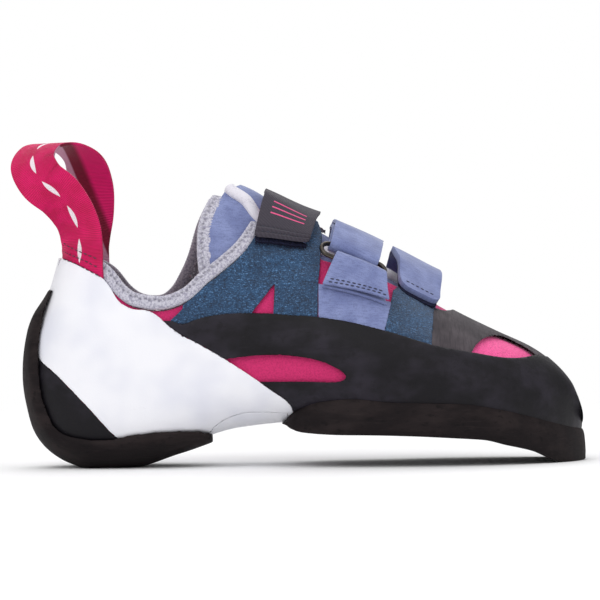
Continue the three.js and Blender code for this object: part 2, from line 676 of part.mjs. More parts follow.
function makeLowStrap() {
  const outer = pileFace + layerGap + strapThick / 2;
  const inner = firstLayer + toePatchThick + layerGap + strapThick / 2;
  const route = [
    [-0.34 * ballWidth, outer],
    [-0.26 * ballWidth, outer + 0.25 * strapClearance],
    [-0.14 * ballWidth, outer + 0.8 * strapClearance],
    [0, outer + strapClearance],
    [0.15 * ballWidth, inner + 0.8 * strapClearance],
    [0.3 * ballWidth, inner + 0.3 * strapClearance],
    [0.42 * ballWidth, inner],
  ];
  return strapAlong({ at: 0.68, width: lowStrapWidth, thick: strapThick, route, slant: -0.16 });
}

// Route of the top strap, and of the tab that lies on its outer end
function topRoute(lift) {
  const outer = pileFace + layerGap + webThick / 2 + lift;
  const inner = slateFace + layerGap + webThick / 2 + lift;
  return [
    [-0.38 * ballWidth, outer],
    [-0.2 * ballWidth, outer + layerGap],
    [-0.05 * ballWidth, outer + 0.4 * strapRise],
    [0.12 * ballWidth, inner + 0.4 * strapRise],
    [0.3 * ballWidth, inner],
    [0.5 * ballWidth, inner],
  ];
}

function makeTopStrap() {
  return strapAlong({ at: 0.478, width: topStrapWidth - 2, thick: webThick, route: topRoute(0), slant: 0.12 });
}

function makeTopTab() {
  const lift = (webThick + tabThick) / 2 + layerGap;
  const route = topRoute(lift).slice(0, 3);
  return strapAlong({ at: 0.478, width: topStrapWidth, thick: tabThick, route, slant: 0.12, steps: 5 });
}

// Stadium ring of round wire, its long bars along the shoe
function makeRing() {
  const at = 0.577;
  const ringSteps = 16;
  const radius = ringReach / 2;
  const stretch = middleStrapWidth / 2 + ringPlay;
  const torus = new THREE.TorusGeometry(radius, ringWire / 2, 8, ringSteps);
  torus.rotateZ(Math.PI / ringSteps);
  mapped(torus, point => point.setX(point.x + Math.sign(point.x) * stretch));
  const upper = x => wrap(x, barGirth, barHeight);
  const lower = x => wrap(x, tabGirth, barHeight);
  const from = at * shoeLength - stretch;
  const to = at * shoeLength + stretch;
  const centre = upper(from).add(upper(to)).add(lower(from)).add(lower(to)).multiplyScalar(0.25);
  const along = upper(to).add(lower(to)).sub(upper(from)).sub(lower(from)).normalize();
  const around = upper(from).add(upper(to)).sub(lower(from)).sub(lower(to));
  const out = along.clone().cross(around).normalize();
  const frame = new THREE.Matrix4().makeBasis(along, out.clone().cross(along), out).setPosition(centre);
  return solid(torus.applyMatrix4(frame));
}

// Pull loop of ribbon over the heel. along: share of the ribbon's width; across: of half the span, where
// a whole share is sewn to the heel; up: of the loop's height; turn: degrees that its width is turned in
// plan; sag: hollow across its width.
const loopRoute = [
  { along: 0, across: -1, up: -0.26, turn: -28, sag: 1 },
  { along: 0, across: -0.93, up: -0.06, turn: -28, sag: 1 },
  { along: -0.02, across: -0.94, up: 0.1, turn: -26, sag: 0.6 },
  { along: -0.14, across: -0.98, up: 0.26, turn: -20, sag: 0.3 },
  { along: -0.4, across: -0.98, up: 0.44, turn: -14, sag: 0 },
  { along: -0.8, across: -0.86, up: 0.6, turn: -18, sag: 0 },
  { along: -1, across: -0.6, up: 0.79, turn: -28, sag: 0 },
  { along: -0.84, across: -0.2, up: 0.95, turn: -36, sag: 0 },
  { along: -0.4, across: 0.3, up: 0.97, turn: -36, sag: 0 },
  { along: -0.02, across: 0.7, up: 0.84, turn: -30, sag: 0 },
  { along: 0.1, across: 0.92, up: 0.6, turn: -12, sag: 0 },
  { along: 0.1, across: 0.98, up: 0.3, turn: 12, sag: 0.3 },
  { along: 0.03, across: 0.95, up: 0.08, turn: 24, sag: 0.8 },
  { along: 0, across: 0.93, up: -0.06, turn: 28, sag: 1 },
  { along: 0, across: 1, up: -0.26, turn: 28, sag: 1 },
];

function makePullLoop() {
  const foot = 0.11 * shoeLength;
  const seat = bindingThick - upperWall + layerGap + loopPlay + loopThick / 2;
  const rows = loopRoute.map(({ along, across, up, turn, sag }) => {
    const x = foot + along * loopWidth;
    const z = heelHeight + up * loopHeight;
    const centre = new THREE.Vector3(x, across * loopSpan / 2, z);
    const sewn = Math.abs(across) === 1; // the ends follow the heel's skin
    if (sewn) {
      const place = placeAt({ at: x / shoeLength, up: z / heelHeight }, across);
      centre.y = skin(place.u, place.angle, seat).y;
    }
    return { centre, turn: THREE.MathUtils.degToRad(turn), sag };
  });
  const route = new THREE.CatmullRomCurve3(rows.map(row => row.centre));
  const twist = new THREE.CatmullRomCurve3(rows.map(row => new THREE.Vector3(row.turn, row.sag, 0)));
  const bar = new THREE.BoxGeometry(1, 1, 1, 2, 38, 1);
  return solid(mapped(bar, ({ x, y, z }) => {
    const t = y + 0.5;
    const { x: turn, y: sag } = twist.getPoint(t);
    const tangent = route.getTangent(t);
    const wide = new THREE.Vector3(Math.cos(turn), Math.sin(turn), 0);
    wide.addScaledVector(tangent, -wide.dot(tangent)).normalize();
    const out = wide.clone().cross(tangent).normalize();
    const depth = z * loopThick - sag * loopSag * 4 * x * x;
    return route.getPoint(t).addScaledVector(wide, x * loopWidth).addScaledVector(out, depth);
  }));
}

const colours = {
  pinkMesh: 0xd9356f, slate: 0x7480a8, pile: 0x2d4f78, grey: 0xbfbcc8, white: 0xf0f0f4,
  black: 0x24222a, heelBlack: 0x2a2224, charcoal: 0x4a464e, crimson: 0xc0124c, cream: 0xd8d2c6,
  wire: 0x3a362f,
};

const rubber = { roughness: 0.6, metalness: 0 };
const cloth = { roughness: 0.9, metalness: 0 };

// Pieces cut to stay clear of the bindings and the roll that they meet
const collarRoom = makeCollarBinding(seamGap);
const wingRoom = sideBlock(grown(pileTopOutline, seamGap)).subtract(lastSolid(tongueFace)).intersect(outerHalf);
const tongueRoom = makeTongueRoll(seamGap).add(makeTongueRearBinding(seamGap)).add(sideBlock(rearShape));

const parts = [
  ['upper', makeUpper().subtract(collarRoom), colours.pinkMesh, cloth],
  ['insole', makeInsole(), colours.cream, cloth],
  ['tongue_outer', makeTongueOuter().subtract(tongueRoom), colours.slate, cloth],
  ['tongue_inner', makeTongueInner().subtract(tongueRoom), colours.slate, cloth],
  ['tongue_roll', makeTongueRoll().subtract(makeUpper(layerGap)).subtract(wingRoom), colours.grey, cloth],
  ['tongue_rear_binding', makeTongueRearBinding(), colours.grey, cloth],
  ['collar_binding', makeCollarBinding(), colours.grey, cloth],
  ['rand', makeRand(), colours.black, rubber],
  ['toe_patch', makeToePatch(), colours.charcoal, rubber],
  ['heel_cup', makeHeelCup().subtract(collarRoom), colours.white, rubber],
  ['arch_wrap', makeArchWrap(), colours.white, rubber],
  ['heel_rand', makeHeelRand(), colours.black, rubber],
  ['heel_sole', makeHeelSole(), colours.heelBlack, rubber],
  ['outsole', makeOutsole(), colours.heelBlack, rubber],
  ['pile_panel_top', makePanel(pileTopOutline, pileThick).subtract(collarRoom), colours.pile, cloth],
  ['slate_panel', makePanel(slateOutline, slateThick, [pileTopOutline]), colours.slate, cloth],
  ['pile_panel_low', makePanel(lowPileOutline, pileThick, [slateOutline, patchRegion]), colours.pile, cloth],
  ['slate_panel_inner', makePanel(sidePoints(innerSlateRim), slateThick, [], innerHalf), colours.slate, cloth],
  ['pile_panel_inner', makePanel(sidePoints(innerPileRim), pileThick, [sidePoints(innerSlateRim)], innerHalf),
    colours.pile, cloth],
  ['strap_top', makeTopStrap(), colours.slate, cloth],
  ['strap_top_tab', makeTopTab(), colours.charcoal, rubber],
  ['strap_middle', makeMiddleStrap(), colours.slate, cloth],
  ['strap_low', makeLowStrap(), colours.slate, cloth],
  ['ring_tab', makeRingTab(), colours.slate, cloth],
  ['ring', makeRing(), colours.wire, { roughness: 0.35, metalness: 1 }],
  ['pull_loop', makePullLoop(), colours.crimson, cloth],
];

const group = new THREE.Group();
for (const [name, body, color, finish] of parts) {
  const mesh = new THREE.Mesh(geometryOf(body), new THREE.MeshStandardMaterial({ color, ...finish }));
  mesh.name = name;
  group.add(mesh);
}

// The origin is under the middle of the shoe, on the floor
const box = new THREE.Box3().setFromObject(group);
const middle = box.getCenter(new THREE.Vector3());
group.position.set(-middle.x, -middle.y, -box.min.z);

export default group;
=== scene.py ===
# Climbing shoe for the right foot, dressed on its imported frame.
# Sizes are millimetres in the shoe's own frame: x from the heel's back to the toe, y to the inner side, z up.
import json
import math
import random
import bmesh
import bpy
import numpy as np
from mathutils import Matrix, Vector
from mathutils.bvhtree import BVHTree


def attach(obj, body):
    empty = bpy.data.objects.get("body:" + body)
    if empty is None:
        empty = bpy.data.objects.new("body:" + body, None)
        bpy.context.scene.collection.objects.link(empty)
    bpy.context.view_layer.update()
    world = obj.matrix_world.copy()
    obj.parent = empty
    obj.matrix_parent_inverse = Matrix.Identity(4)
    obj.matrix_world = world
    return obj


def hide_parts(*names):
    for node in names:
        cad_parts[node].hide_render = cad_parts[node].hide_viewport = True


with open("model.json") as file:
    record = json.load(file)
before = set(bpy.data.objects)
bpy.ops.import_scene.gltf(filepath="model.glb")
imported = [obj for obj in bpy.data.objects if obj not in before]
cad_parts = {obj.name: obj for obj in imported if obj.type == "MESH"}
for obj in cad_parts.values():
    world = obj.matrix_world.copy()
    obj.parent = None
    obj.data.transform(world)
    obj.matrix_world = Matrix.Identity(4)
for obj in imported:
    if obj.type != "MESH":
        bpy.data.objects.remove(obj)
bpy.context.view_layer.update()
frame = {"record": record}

random.seed(7)

shoe = {
    "length": 240, "heelHeight": 96, "instepHeight": 100, "heelWidth": 62, "ballWidth": 90,
    "upperWall": 1.8, "gap": 0.3, "cupThick": 1.8, "randThick": 1.8, "heelSoleThick": 2.9, "soleProud": 1.2,
    "forefootRest": (231, 12),       # the front mount, from the heel's back and from the middle line
}

# The frame's front mount says where the shoe stands
mounts = {mount["name"]: Vector(mount["pos_m"]) for mount in frame["record"]["mounts"]}
restX, restY = shoe["forefootRest"]
fromRest = Matrix.Translation((-restX, -restY, 0))
toScene = Matrix.Translation(mounts["forefoot_rest"]) @ Matrix.Scale(0.001, 4) @ fromRest

# Heights of the layers above the face of the upper
randFace = shoe["gap"] + shoe["randThick"]
heelSoleBack = shoe["gap"] * 2 + shoe["cupThick"]
heelSoleFace = heelSoleBack + shoe["heelSoleThick"]
toeStack = randFace + shoe["soleProud"]
lastLength = shoe["length"] - heelSoleFace - toeStack
layers = {
    "insole": (-4.1, -2.1), "tongue": (-4.6, -2.1), "upper": (-shoe["upperWall"], 0),
    "rand": (shoe["gap"], randFace),
    "toePatch": (-0.2, 1.7), "pile": (0.3, 1.5), "slate": (0.3, 1.2),
    "heelSole": (heelSoleBack, heelSoleFace),
}

# Cross-sections of the last: at as a share of its length; low, mid, high as shares of the height there;
# half, centre, crest as shares of the width there; under and over are the fullness of the two curves
sections = [
    (0, 0.415, 0.415, 0.415, 0, 0, 0, 2.2, 2),
    (0.007, 0.28, 0.405, 0.57, 0.15, 0, 0, 2.3, 2),
    (0.017, 0.19, 0.385, 0.66, 0.225, 0, 0, 2.3, 2),
    (0.031, 0.137, 0.365, 0.735, 0.285, 0, 0, 2.4, 2),
    (0.048, 0.1, 0.35, 0.86, 0.335, 0, 0, 2.4, 2),
    (0.07, 0.07, 0.34, 1.04, 0.375, 0, 0, 2.5, 2),
    (0.107, 0.044, 0.33, 1.16, 0.42, 0, 0, 2.6, 2),
    (0.17, 0.047, 0.335, 1.25, 0.448, 0, 0.01, 2.6, 2),
    (0.26, 0.107, 0.36, 1.28, 0.455, -0.01, 0.03, 2.4, 2),
    (0.375, 0.183, 0.4, 1.225, 0.452, -0.02, 0.07, 2.3, 2),
    (0.5, 0.205, 0.4, 1.045, 0.425, -0.035, 0.1, 2.5, 2),
    (0.625, 0.2, 0.36, 0.875, 0.435, -0.03, 0.115, 2.8, 2),
    (0.74, 0.185, 0.33, 0.67, 0.458, 0.005, 0.11, 2.9, 2.1),
    (0.84, 0.157, 0.29, 0.548, 0.42, 0.047, 0.1, 2.8, 2.2),
    (0.915, 0.112, 0.235, 0.463, 0.335, 0.092, 0.075, 2.6, 2.2),
    (0.958, 0.08, 0.195, 0.38, 0.247, 0.125, 0.036, 2.5, 2.2),
    (0.988, 0.09, 0.173, 0.276, 0.14, 0.15, 0, 2.4, 2.1),
    (1, 0.16, 0.16, 0.16, 0, 0.15, 0, 2.3, 2),
]

# Lines of the side view: share of the length, share of the height there
lines = {
    "collarEdge": [(0.16, 0.815), (0.18, 0.745), (0.2, 0.705), (0.225, 0.686), (0.25, 0.678),
        (0.27, 0.684), (0.298, 0.712), (0.325, 0.768), (0.36, 0.828), (0.39, 0.888), (0.42, 0.985)],
    "collarBack": [(0.066, 0.935), (0.098, 0.9), (0.125, 0.87), (0.152, 0.83)],
    "innerCollarEdge": [(0.16, 0.815), (0.18, 0.745), (0.2, 0.705), (0.225, 0.686), (0.25, 0.69),
        (0.272, 0.73), (0.292, 0.81), (0.306, 0.89), (0.322, 1.01), (0.345, 1.11)],
    "wingTop": [(0.432, 1.12), (0.5, 1.12), (0.524, 1.04), (0.532, 0.985), (0.529, 0.865)],
    "throatEdge": [(0.58, 0.83), (0.648, 0.765), (0.7, 0.705), (0.742, 0.68)],
    "innerThroatEdge": [(0.37, 1.13), (0.44, 1.0), (0.54, 0.875), (0.648, 0.76), (0.7, 0.705),
        (0.742, 0.68)],
    "rollLine": [(0.378, 1.175), (0.4, 1.135), (0.43, 1.05), (0.48, 0.985), (0.54, 0.91),
        (0.594, 0.865), (0.648, 0.815), (0.7, 0.735)],
    "tongueFoot": [(0.3, 0.6), (0.4, 0.74), (0.53, 0.76), (0.648, 0.68), (0.735, 0.6)],
    "innerTongueFoot": [(0.3, 1.04), (0.37, 1.04), (0.44, 0.92), (0.54, 0.8), (0.648, 0.68),
        (0.735, 0.6)],
    "tongueRear": [(0.342, 0.74), (0.334, 0.85), (0.332, 0.95), (0.335, 1.04), (0.345, 1.11),
        (0.362, 1.17)],
    "insoleEdge": [(0.03, 0.22), (0.12, 0.13), (0.25, 0.2), (0.4, 0.27), (0.6, 0.27), (0.75, 0.26),
        (0.88, 0.21), (0.96, 0.19)],
    "randTop": [(0.267, 0.637), (0.287, 0.618), (0.319, 0.638), (0.365, 0.65), (0.427, 0.645),
        (0.475, 0.636), (0.522, 0.626), (0.58, 0.603), (0.65, 0.558), (0.72, 0.505), (0.785, 0.473),
        (0.847, 0.446), (0.88, 0.444), (0.908, 0.452), (0.934, 0.441)],
    "cupFront": [(0.253, 0.637), (0.283, 0.575), (0.318, 0.525), (0.374, 0.438), (0.434, 0.335),
        (0.476, 0.249), (0.475, 0.12)],
    "cupTop": [(0.066, 0.93), (0.098, 0.9), (0.125, 0.867), (0.151, 0.828), (0.163, 0.79),
        (0.175, 0.737), (0.188, 0.71), (0.204, 0.692), (0.225, 0.686), (0.24, 0.668), (0.253, 0.641)],
    "heelBlack": [(0.052, 0.792), (0.039, 0.694), (0.03, 0.593), (0.029, 0.504), (0.07, 0.405),
        (0.122, 0.271), (0.172, 0.136), (0.2, 0.1), (0.33, 0.09)],
    "heelSoleEdge": [(0.052, 0.792), (0.039, 0.694), (0.03, 0.593), (0.029, 0.504), (0.03, 0.398),
        (0.035, 0.305), (0.044, 0.243), (0.054, 0.189), (0.07, 0.15), (0.091, 0.134), (0.151, 0.121),
        (0.2, 0.142), (0.27, 0.15), (0.323, 0.139), (0.338, 0.125)],
    "archLine": [(0.326, 0.136), (0.35, 0.19), (0.385, 0.226), (0.424, 0.232), (0.469, 0.225)],
    "soleTop": [(0.465, 0.186), (0.469, 0.211), (0.483, 0.236), (0.526, 0.273), (0.579, 0.284),
        (0.648, 0.269), (0.719, 0.263), (0.777, 0.257), (0.809, 0.245), (0.858, 0.22), (0.933, 0.171),
        (0.994, 0.131)],
    "soleUnder": [(0.465, 0.177), (0.475, 0.16), (0.493, 0.146), (0.557, 0.136), (0.612, 0.134),
        (0.684, 0.128), (0.759, 0.117), (0.808, 0.107), (0.845, 0.084), (0.875, 0.067), (0.895, 0.053),
        (0.918, 0.027), (0.932, 0.013), (0.948, 0)],
    "windowRim": [(0.34, 0.452), (0.394, 0.466), (0.419, 0.47), (0.467, 0.468), (0.516, 0.45),
        (0.544, 0.425), (0.565, 0.395), (0.57, 0.378), (0.563, 0.361), (0.494, 0.359), (0.41, 0.361)],
    "toeWindow": [(0.912, 0.43), (0.905, 0.452), (0.892, 0.478), (0.876, 0.5), (0.85, 0.531),
        (0.828, 0.536), (0.805, 0.515), (0.788, 0.46), (0.8, 0.41)],
    "patchRear": [(0.718, 0.505), (0.729, 0.658), (0.738, 0.649), (0.758, 0.644), (0.774, 0.656)],
    "pileFront": [(0.532, 0.985), (0.529, 0.864), (0.524, 0.741), (0.5225, 0.6)],
    "pileNotch": [(0.4, 0.62), (0.449, 0.768), (0.445, 0.62)],
    "slateRim": [(0.524, 0.766), (0.652, 0.683), (0.635, 0.54), (0.524, 0.54)],
    "lowPileRim": [(0.655, 0.732), (0.668, 0.753), (0.732, 0.679), (0.718, 0.45), (0.65, 0.45),
        (0.637, 0.56)],
    "innerSlateRim": [(0.39, 0.6), (0.4, 0.92), (0.5, 0.83), (0.54, 0.775), (0.54, 0.54)],
    "innerPileRim": [(0.54, 0.54), (0.54, 0.76), (0.66, 0.67), (0.68, 0.5)],
}


def smoothStep(x, low, high):
    t = np.clip((np.asarray(x, float) - low) / (high - low), 0, 1)
    return t * t * (3 - 2 * t)


def riseAt(at):
    return shoe["heelHeight"] + (shoe["instepHeight"] - shoe["heelHeight"]) * smoothStep(at, 0.15, 0.45)


def reachAt(at):
    return shoe["heelWidth"] + (shoe["ballWidth"] - shoe["heelWidth"]) * smoothStep(at, 0.3, 0.65)


# A smooth function through rows of numbers that never overshoots them
def smoothColumn(xs, ys):
    xs, ys = np.array(xs, float), np.array(ys, float)
    slopes = np.diff(ys) / np.diff(xs)
    before = np.concatenate([slopes[:1], slopes])
    after = np.concatenate([slopes, slopes[-1:]])
    both = np.where(before + after == 0, 1, before + after)
    tangents = np.where(before * after > 0, 2 * before * after / both, 0)

    def value(x):
        i = np.clip(np.searchsorted(xs, x, side="right") - 1, 0, len(xs) - 2)
        span = xs[i + 1] - xs[i]
        t = np.clip((x - xs[i]) / span, 0, 1)
        rest = 1 - t
        bend = tangents[i] * rest - tangents[i + 1] * t
        return ys[i] * rest ** 2 * (1 + 2 * t) + ys[i + 1] * t ** 2 * (1 + 2 * rest) + span * t * rest * bend
    return value


def turnOf(at):
    return np.arccos(1 - 2 * np.clip(at, 0, 1)) / math.pi


names = ["low", "mid", "high", "half", "centre", "crest", "under", "over"]
turns = [float(turnOf(row[0])) for row in sections]
columns = {name: smoothColumn(turns, [row[i + 1] for row in sections]) for i, name in enumerate(names)}


def sectionAt(u):
    u = np.asarray(u, float)
    at = (1 - np.cos(math.pi * u)) / 2
    rise, reach = riseAt(at), reachAt(at)
    cut = {name: columns[name](u) * rise for name in ("low", "mid", "high")}
    cut.update({name: columns[name](u) * reach for name in ("half", "centre")})
    cut["crest"] = columns["crest"](u) * reach - cut["centre"]
    cut.update({name: columns[name](u) for name in ("under", "over")})
    cut["x"] = heelSoleFace + at * lastLength
    return cut


# Point of the bare last: angle 0 is the inner side, a quarter turn the crest, half a turn the outer side
def lastPoint(u, angle):
    cut = sectionAt(u)
    c, s = np.cos(angle), np.sin(angle)
    power = np.where(s > 0, cut["over"], cut["under"])
    radius = (np.abs(c) ** power + np.abs(s) ** power) ** (-1 / power)
    v = s * radius
    shift = np.where(v > 0, cut["crest"] * v * v, 0)
    height = np.where(v > 0, cut["high"] - cut["mid"], cut["mid"] - cut["low"])
    return np.stack([cut["x"] + 0 * v, cut["centre"] + cut["half"] * c * radius + shift,
                     cut["mid"] + height * v], -1)


def lastNormal(u, angle):
    u, angle = np.broadcast_arrays(np.asarray(u, float), np.asarray(angle, float))
    probe = 1e-3
    along = lastPoint(np.minimum(u + probe, 1), angle) - lastPoint(np.maximum(u - probe, 0), angle)
    around = lastPoint(u, angle + probe) - lastPoint(u, angle - probe)
    normal = np.cross(around, along)
    normal /= np.maximum(np.linalg.norm(normal, axis=-1, keepdims=True), 1e-9)
    normal = np.where((u < probe)[..., None], (-1, 0, 0), normal)
    return np.where((u > 1 - probe)[..., None], (1, 0, 0), normal)


# Soft troughs and ridges: ends in the side view, width, depth (minus in a trough) and side
creases = [
    {"from": (99, 80), "to": (124, 85), "width": 3.2, "depth": -0.55, "side": -1},
    {"from": (99, 86), "to": (122, 90), "width": 3.6, "depth": 0.4, "side": -1},
    {"from": (110, 96), "to": (126, 92), "width": 3, "depth": -0.35, "side": -1},
    {"from": (84, 73), "to": (96, 82), "width": 3.4, "depth": -0.35, "side": -1},
    {"from": (128, 68), "to": (152, 62), "width": 4, "depth": -0.3, "side": -1},
    {"from": (160, 60), "to": (174, 56), "width": 3.5, "depth": -0.35, "side": -1},
    {"from": (126, 54), "to": (170, 45), "width": 7, "depth": 0.5, "side": -1},
    {"from": (140, 31), "to": (176, 34), "width": 5, "depth": -0.6, "side": -1},
    {"from": (176, 32), "to": (204, 30), "width": 6, "depth": 0.55, "side": -1},
    {"from": (184, 55), "to": (196, 50), "width": 4, "depth": -0.3, "side": -1},
    {"from": (206, 38), "to": (226, 34), "width": 7, "depth": -0.35, "side": -1},
    {"from": (62, 50), "to": (88, 34), "width": 8, "depth": -0.3, "side": -1},
    {"from": (98, 76), "to": (128, 80), "width": 4.5, "depth": -0.5, "side": 1},
    {"from": (130, 62), "to": (168, 50), "width": 5, "depth": -0.5, "side": 1},
    {"from": (150, 36), "to": (190, 32), "width": 6, "depth": 0.5, "side": 1},
]


def relief(points):
    x, y, z = points[..., 0], points[..., 1], points[..., 2]
    total = np.zeros(x.shape)
    for crease in creases:
        ax, az = crease["from"]
        bx, bz = crease["to"]
        t = np.clip(((x - ax) * (bx - ax) + (z - az) * (bz - az)) / ((bx - ax) ** 2 + (bz - az) ** 2), 0, 1)
        away = ((x - ax - t * (bx - ax)) ** 2 + (z - az - t * (bz - az)) ** 2) / crease["width"] ** 2
        total += crease["depth"] * np.exp(-away) * smoothStep(y * crease["side"], 4, 16)
    return total


def skin(u, angle, height):
    bare = lastPoint(u, angle)
    return bare + lastNormal(u, angle) * (np.asarray(height, float) + relief(bare))[..., None]


# The place on the last behind a point of the side view; side -1 is outer, 1 is inner
def placeAt(x, z, side):
    u = turnOf((np.asarray(x, float) - heelSoleFace) / lastLength)
    cut = sectionAt(u)
    tall = np.where(z > cut["mid"], cut["high"] - cut["mid"], cut["mid"] - cut["low"])
    v = np.clip((z - cut["mid"]) / tall, -1, 1)
    power = np.where(v > 0, cut["over"], cut["under"])
    across = (1 - np.abs(v) ** power) ** (1 / power)
    return u, np.arctan2(v, side * across)


# A curve through points as an editor's smooth spline: even shares of t for each stretch between points
class Route:
    def __init__(self, points):
        points = np.array(points, float)
        self.points = np.vstack([2 * points[0] - points[1], points, 2 * points[-1] - points[-2]])

    def point(self, t):
        count = len(self.points) - 3
        place = np.clip(np.asarray(t, float), 0, 1) * count
        i = np.minimum(place.astype(int), count - 1)
        w = (place - i)[..., None]
        a, b, c, d = (self.points[i + k] for k in range(4))
        pairs = ((a, b), (b, c), (c, d))
        steps = [np.maximum(((q - p) ** 2).sum(-1, keepdims=True) ** 0.25, 1e-4) for p, q in pairs]
        before, here, after = steps
        first = ((b - a) / before - (c - a) / (before + here) + (c - b) / here) * here
        second = ((c - b) / here - (d - b) / (here + after) + (d - c) / after) * here
        square = 3 * (c - b) - 2 * first - second
        return b + first * w + square * w ** 2 + (2 * (b - c) + first + second) * w ** 3

    def tangent(self, t):
        t = np.asarray(t, float)
        step = self.point(np.minimum(t + 1e-4, 1)) - self.point(np.maximum(t - 1e-4, 0))
        return step / np.linalg.norm(step, axis=-1, keepdims=True)

    # the share t for each of some lengths along the curve, and the whole length
    def measured(self, fineness=600):
        t = np.linspace(0, 1, fineness)
        reach = np.concatenate([[0], np.cumsum(np.linalg.norm(np.diff(self.point(t), axis=0), axis=1))])
        return (lambda lengths: np.interp(lengths, reach, t)), reach[-1]


def sidePoints(rows):
    return [(at * shoe["length"], up * float(riseAt(at))) for at, up in rows]


# A line of the side view as a smooth run of points
def run(name, step=1.6):
    points = sidePoints(lines[name])
    if len(points) < 4:
        return points
    route = Route(points)
    shareAt, length = route.measured()
    count = max(int(length / step), 2)
    return [tuple(point) for point in route.point(shareAt(np.linspace(0, length, count + 1)))]


def areaOf(points):
    return sum(a[0] * b[1] - b[0] * a[1] for a, b in zip(points, points[1:] + points[:1])) / 2


# The same outline set out by a gap
def grown(points, gap):
    turn = 1 if areaOf(points) > 0 else -1
    moved = []
    for i, (x, z) in enumerate(points):
        before, after = Vector(points[i - 1]), Vector(points[(i + 1) % len(points)])
        mean = ((Vector((x, z)) - before).normalized() + (after - Vector((x, z))).normalized()).normalized()
        moved.append((x + turn * mean.y * gap, z - turn * mean.x * gap))
    return moved


# Modelling helpers
def newObject(name, bm):
    mesh = bpy.data.meshes.new(name)
    bm.to_mesh(mesh)
    bm.free()
    made = bpy.data.objects.new(name, mesh)
    bpy.context.scene.collection.objects.link(made)
    return made


def coordsOf(bm):
    return np.array([vert.co[:] for vert in bm.verts])


def place(bm, coords):
    for vert, co in zip(bm.verts, coords):
        vert.co = co


tools = []
forms = {}


# The toe's tip: a heart that its points are set out from, the stretch where that begins, and its smoothing
tipForm = {"heart": 0.86, "from": 0.9, "to": 0.94, "rounds": 26, "around": 8}


# The closed last at a height above the face of the upper, as a finely meshed ball that is pulled into shape
def lastForm(height, sides=200, rings=190):
    if height not in forms:
        bm = bmesh.new()
        bmesh.ops.create_uvsphere(bm, u_segments=sides, v_segments=rings, radius=1)
        ball = coordsOf(bm)
        u = np.arccos(np.clip(ball[:, 2], -1, 1)) / math.pi
        angle = np.arctan2(ball[:, 1], ball[:, 0])
        base, full = skin(u, angle, 0), skin(u, angle, height)
        ring = np.linspace(-math.pi, math.pi, tipForm["around"], endpoint=False)
        heart = skin(np.full(tipForm["around"], tipForm["heart"]), ring, 0).mean(0)
        away = (base - heart) / np.linalg.norm(base - heart, axis=1, keepdims=True)
        share = smoothStep(u, tipForm["from"], tipForm["to"])[:, None]
        place(bm, full + (base + away * height - full) * share)
        bmesh.ops.reverse_faces(bm, faces=bm.faces[:])
        tip = [vert for vert, turn in zip(bm.verts, u) if turn > tipForm["to"]]
        for _ in range(tipForm["rounds"]):
            bmesh.ops.smooth_vert(bm, verts=tip, factor=0.5, use_axis_x=True, use_axis_y=True,
                                  use_axis_z=True)
        forms[height] = newObject(f"form_{len(forms)}", bm)
        tools.append(forms[height])
    return forms[height]


# A block with an outline, from one depth to another; lift says where an outline point lies at a depth
def block(outline, lift, near, far):
    bm = bmesh.new()
    face = bm.faces.new([bm.verts.new(lift(a, b, near)) for a, b in outline])
    pulled = bmesh.ops.extrude_face_region(bm, geom=[face])["geom"]
    corners = [part for part in pulled if isinstance(part, bmesh.types.BMVert)]
    bmesh.ops.translate(bm, verts=corners, vec=Vector(lift(0, 0, far)) - Vector(lift(0, 0, near)))
    bmesh.ops.triangulate(bm, faces=[end for end in bm.faces if len(end.verts) > 4])
    bmesh.ops.recalc_face_normals(bm, faces=bm.faces[:])
    made = newObject(f"block_{len(tools)}", bm)
    tools.append(made)
    return made


wide = shoe["ballWidth"]
below, above = -40, 200
farLeft, farRight = -60, shoe["length"] + 60


def sideBlock(outline, near=-wide, far=wide):
    return block(outline, lambda a, b, depth: (a, depth, b), near, far)


# Everything on one side of the crest line
def halfBlock(side):
    cut = sectionAt(np.linspace(0, 1, 60))
    rows = [(float(x), float(y)) for x, y in zip(cut["x"], cut["centre"] + cut["crest"])]
    rows = [(farLeft, rows[0][1]), *rows[1:-1], (farRight, rows[-1][1])]
    return block([*rows, (farRight, side * 2 * wide), (farLeft, side * 2 * wide)],
                 lambda a, b, depth: (a, b, depth), below, above)


# A copy of a body with others kept in, joined on or cut away, in order
def carve(name, body, *steps):
    piece = bpy.data.objects.new(name, body.data.copy())
    bpy.context.scene.collection.objects.link(piece)
    for operation, tool in steps:
        step = piece.modifiers.new(operation.title(), "BOOLEAN")
        step.operation, step.solver, step.object = operation, "MANIFOLD", tool
    return bake(piece)


def bake(piece):
    graph = bpy.context.evaluated_depsgraph_get()
    mesh = bpy.data.meshes.new_from_object(piece.evaluated_get(graph), depsgraph=graph)
    piece.modifiers.clear()
    piece.data = mesh
    return piece


def tool(name, body, *steps):
    made = carve(name, body, *steps)
    tools.append(made)
    return made


# The layer between two heights of the last, inside a block and outside others
def plate(name, layer, inside, outside=()):
    low, high = layers[layer]
    steps = [("INTERSECT", body) for body in inside]
    steps += [("DIFFERENCE", body) for body in (lastForm(low), *outside)]
    return carve(name, lastForm(high), *steps)


# Keeps the largest connected body of a mesh
def mainBody(bm):
    unseen, bodies = set(bm.verts), []
    while unseen:
        body, edge = set(), {next(iter(unseen))}
        while edge:
            body |= edge
            edge = {link.other_vert(vert) for vert in edge for link in vert.link_edges} - body
        unseen -= body
        bodies.append(body)
    spare = [vert for body in bodies if body is not max(bodies, key=len) for vert in body]
    bmesh.ops.delete(bm, geom=spare, context="VERTS")


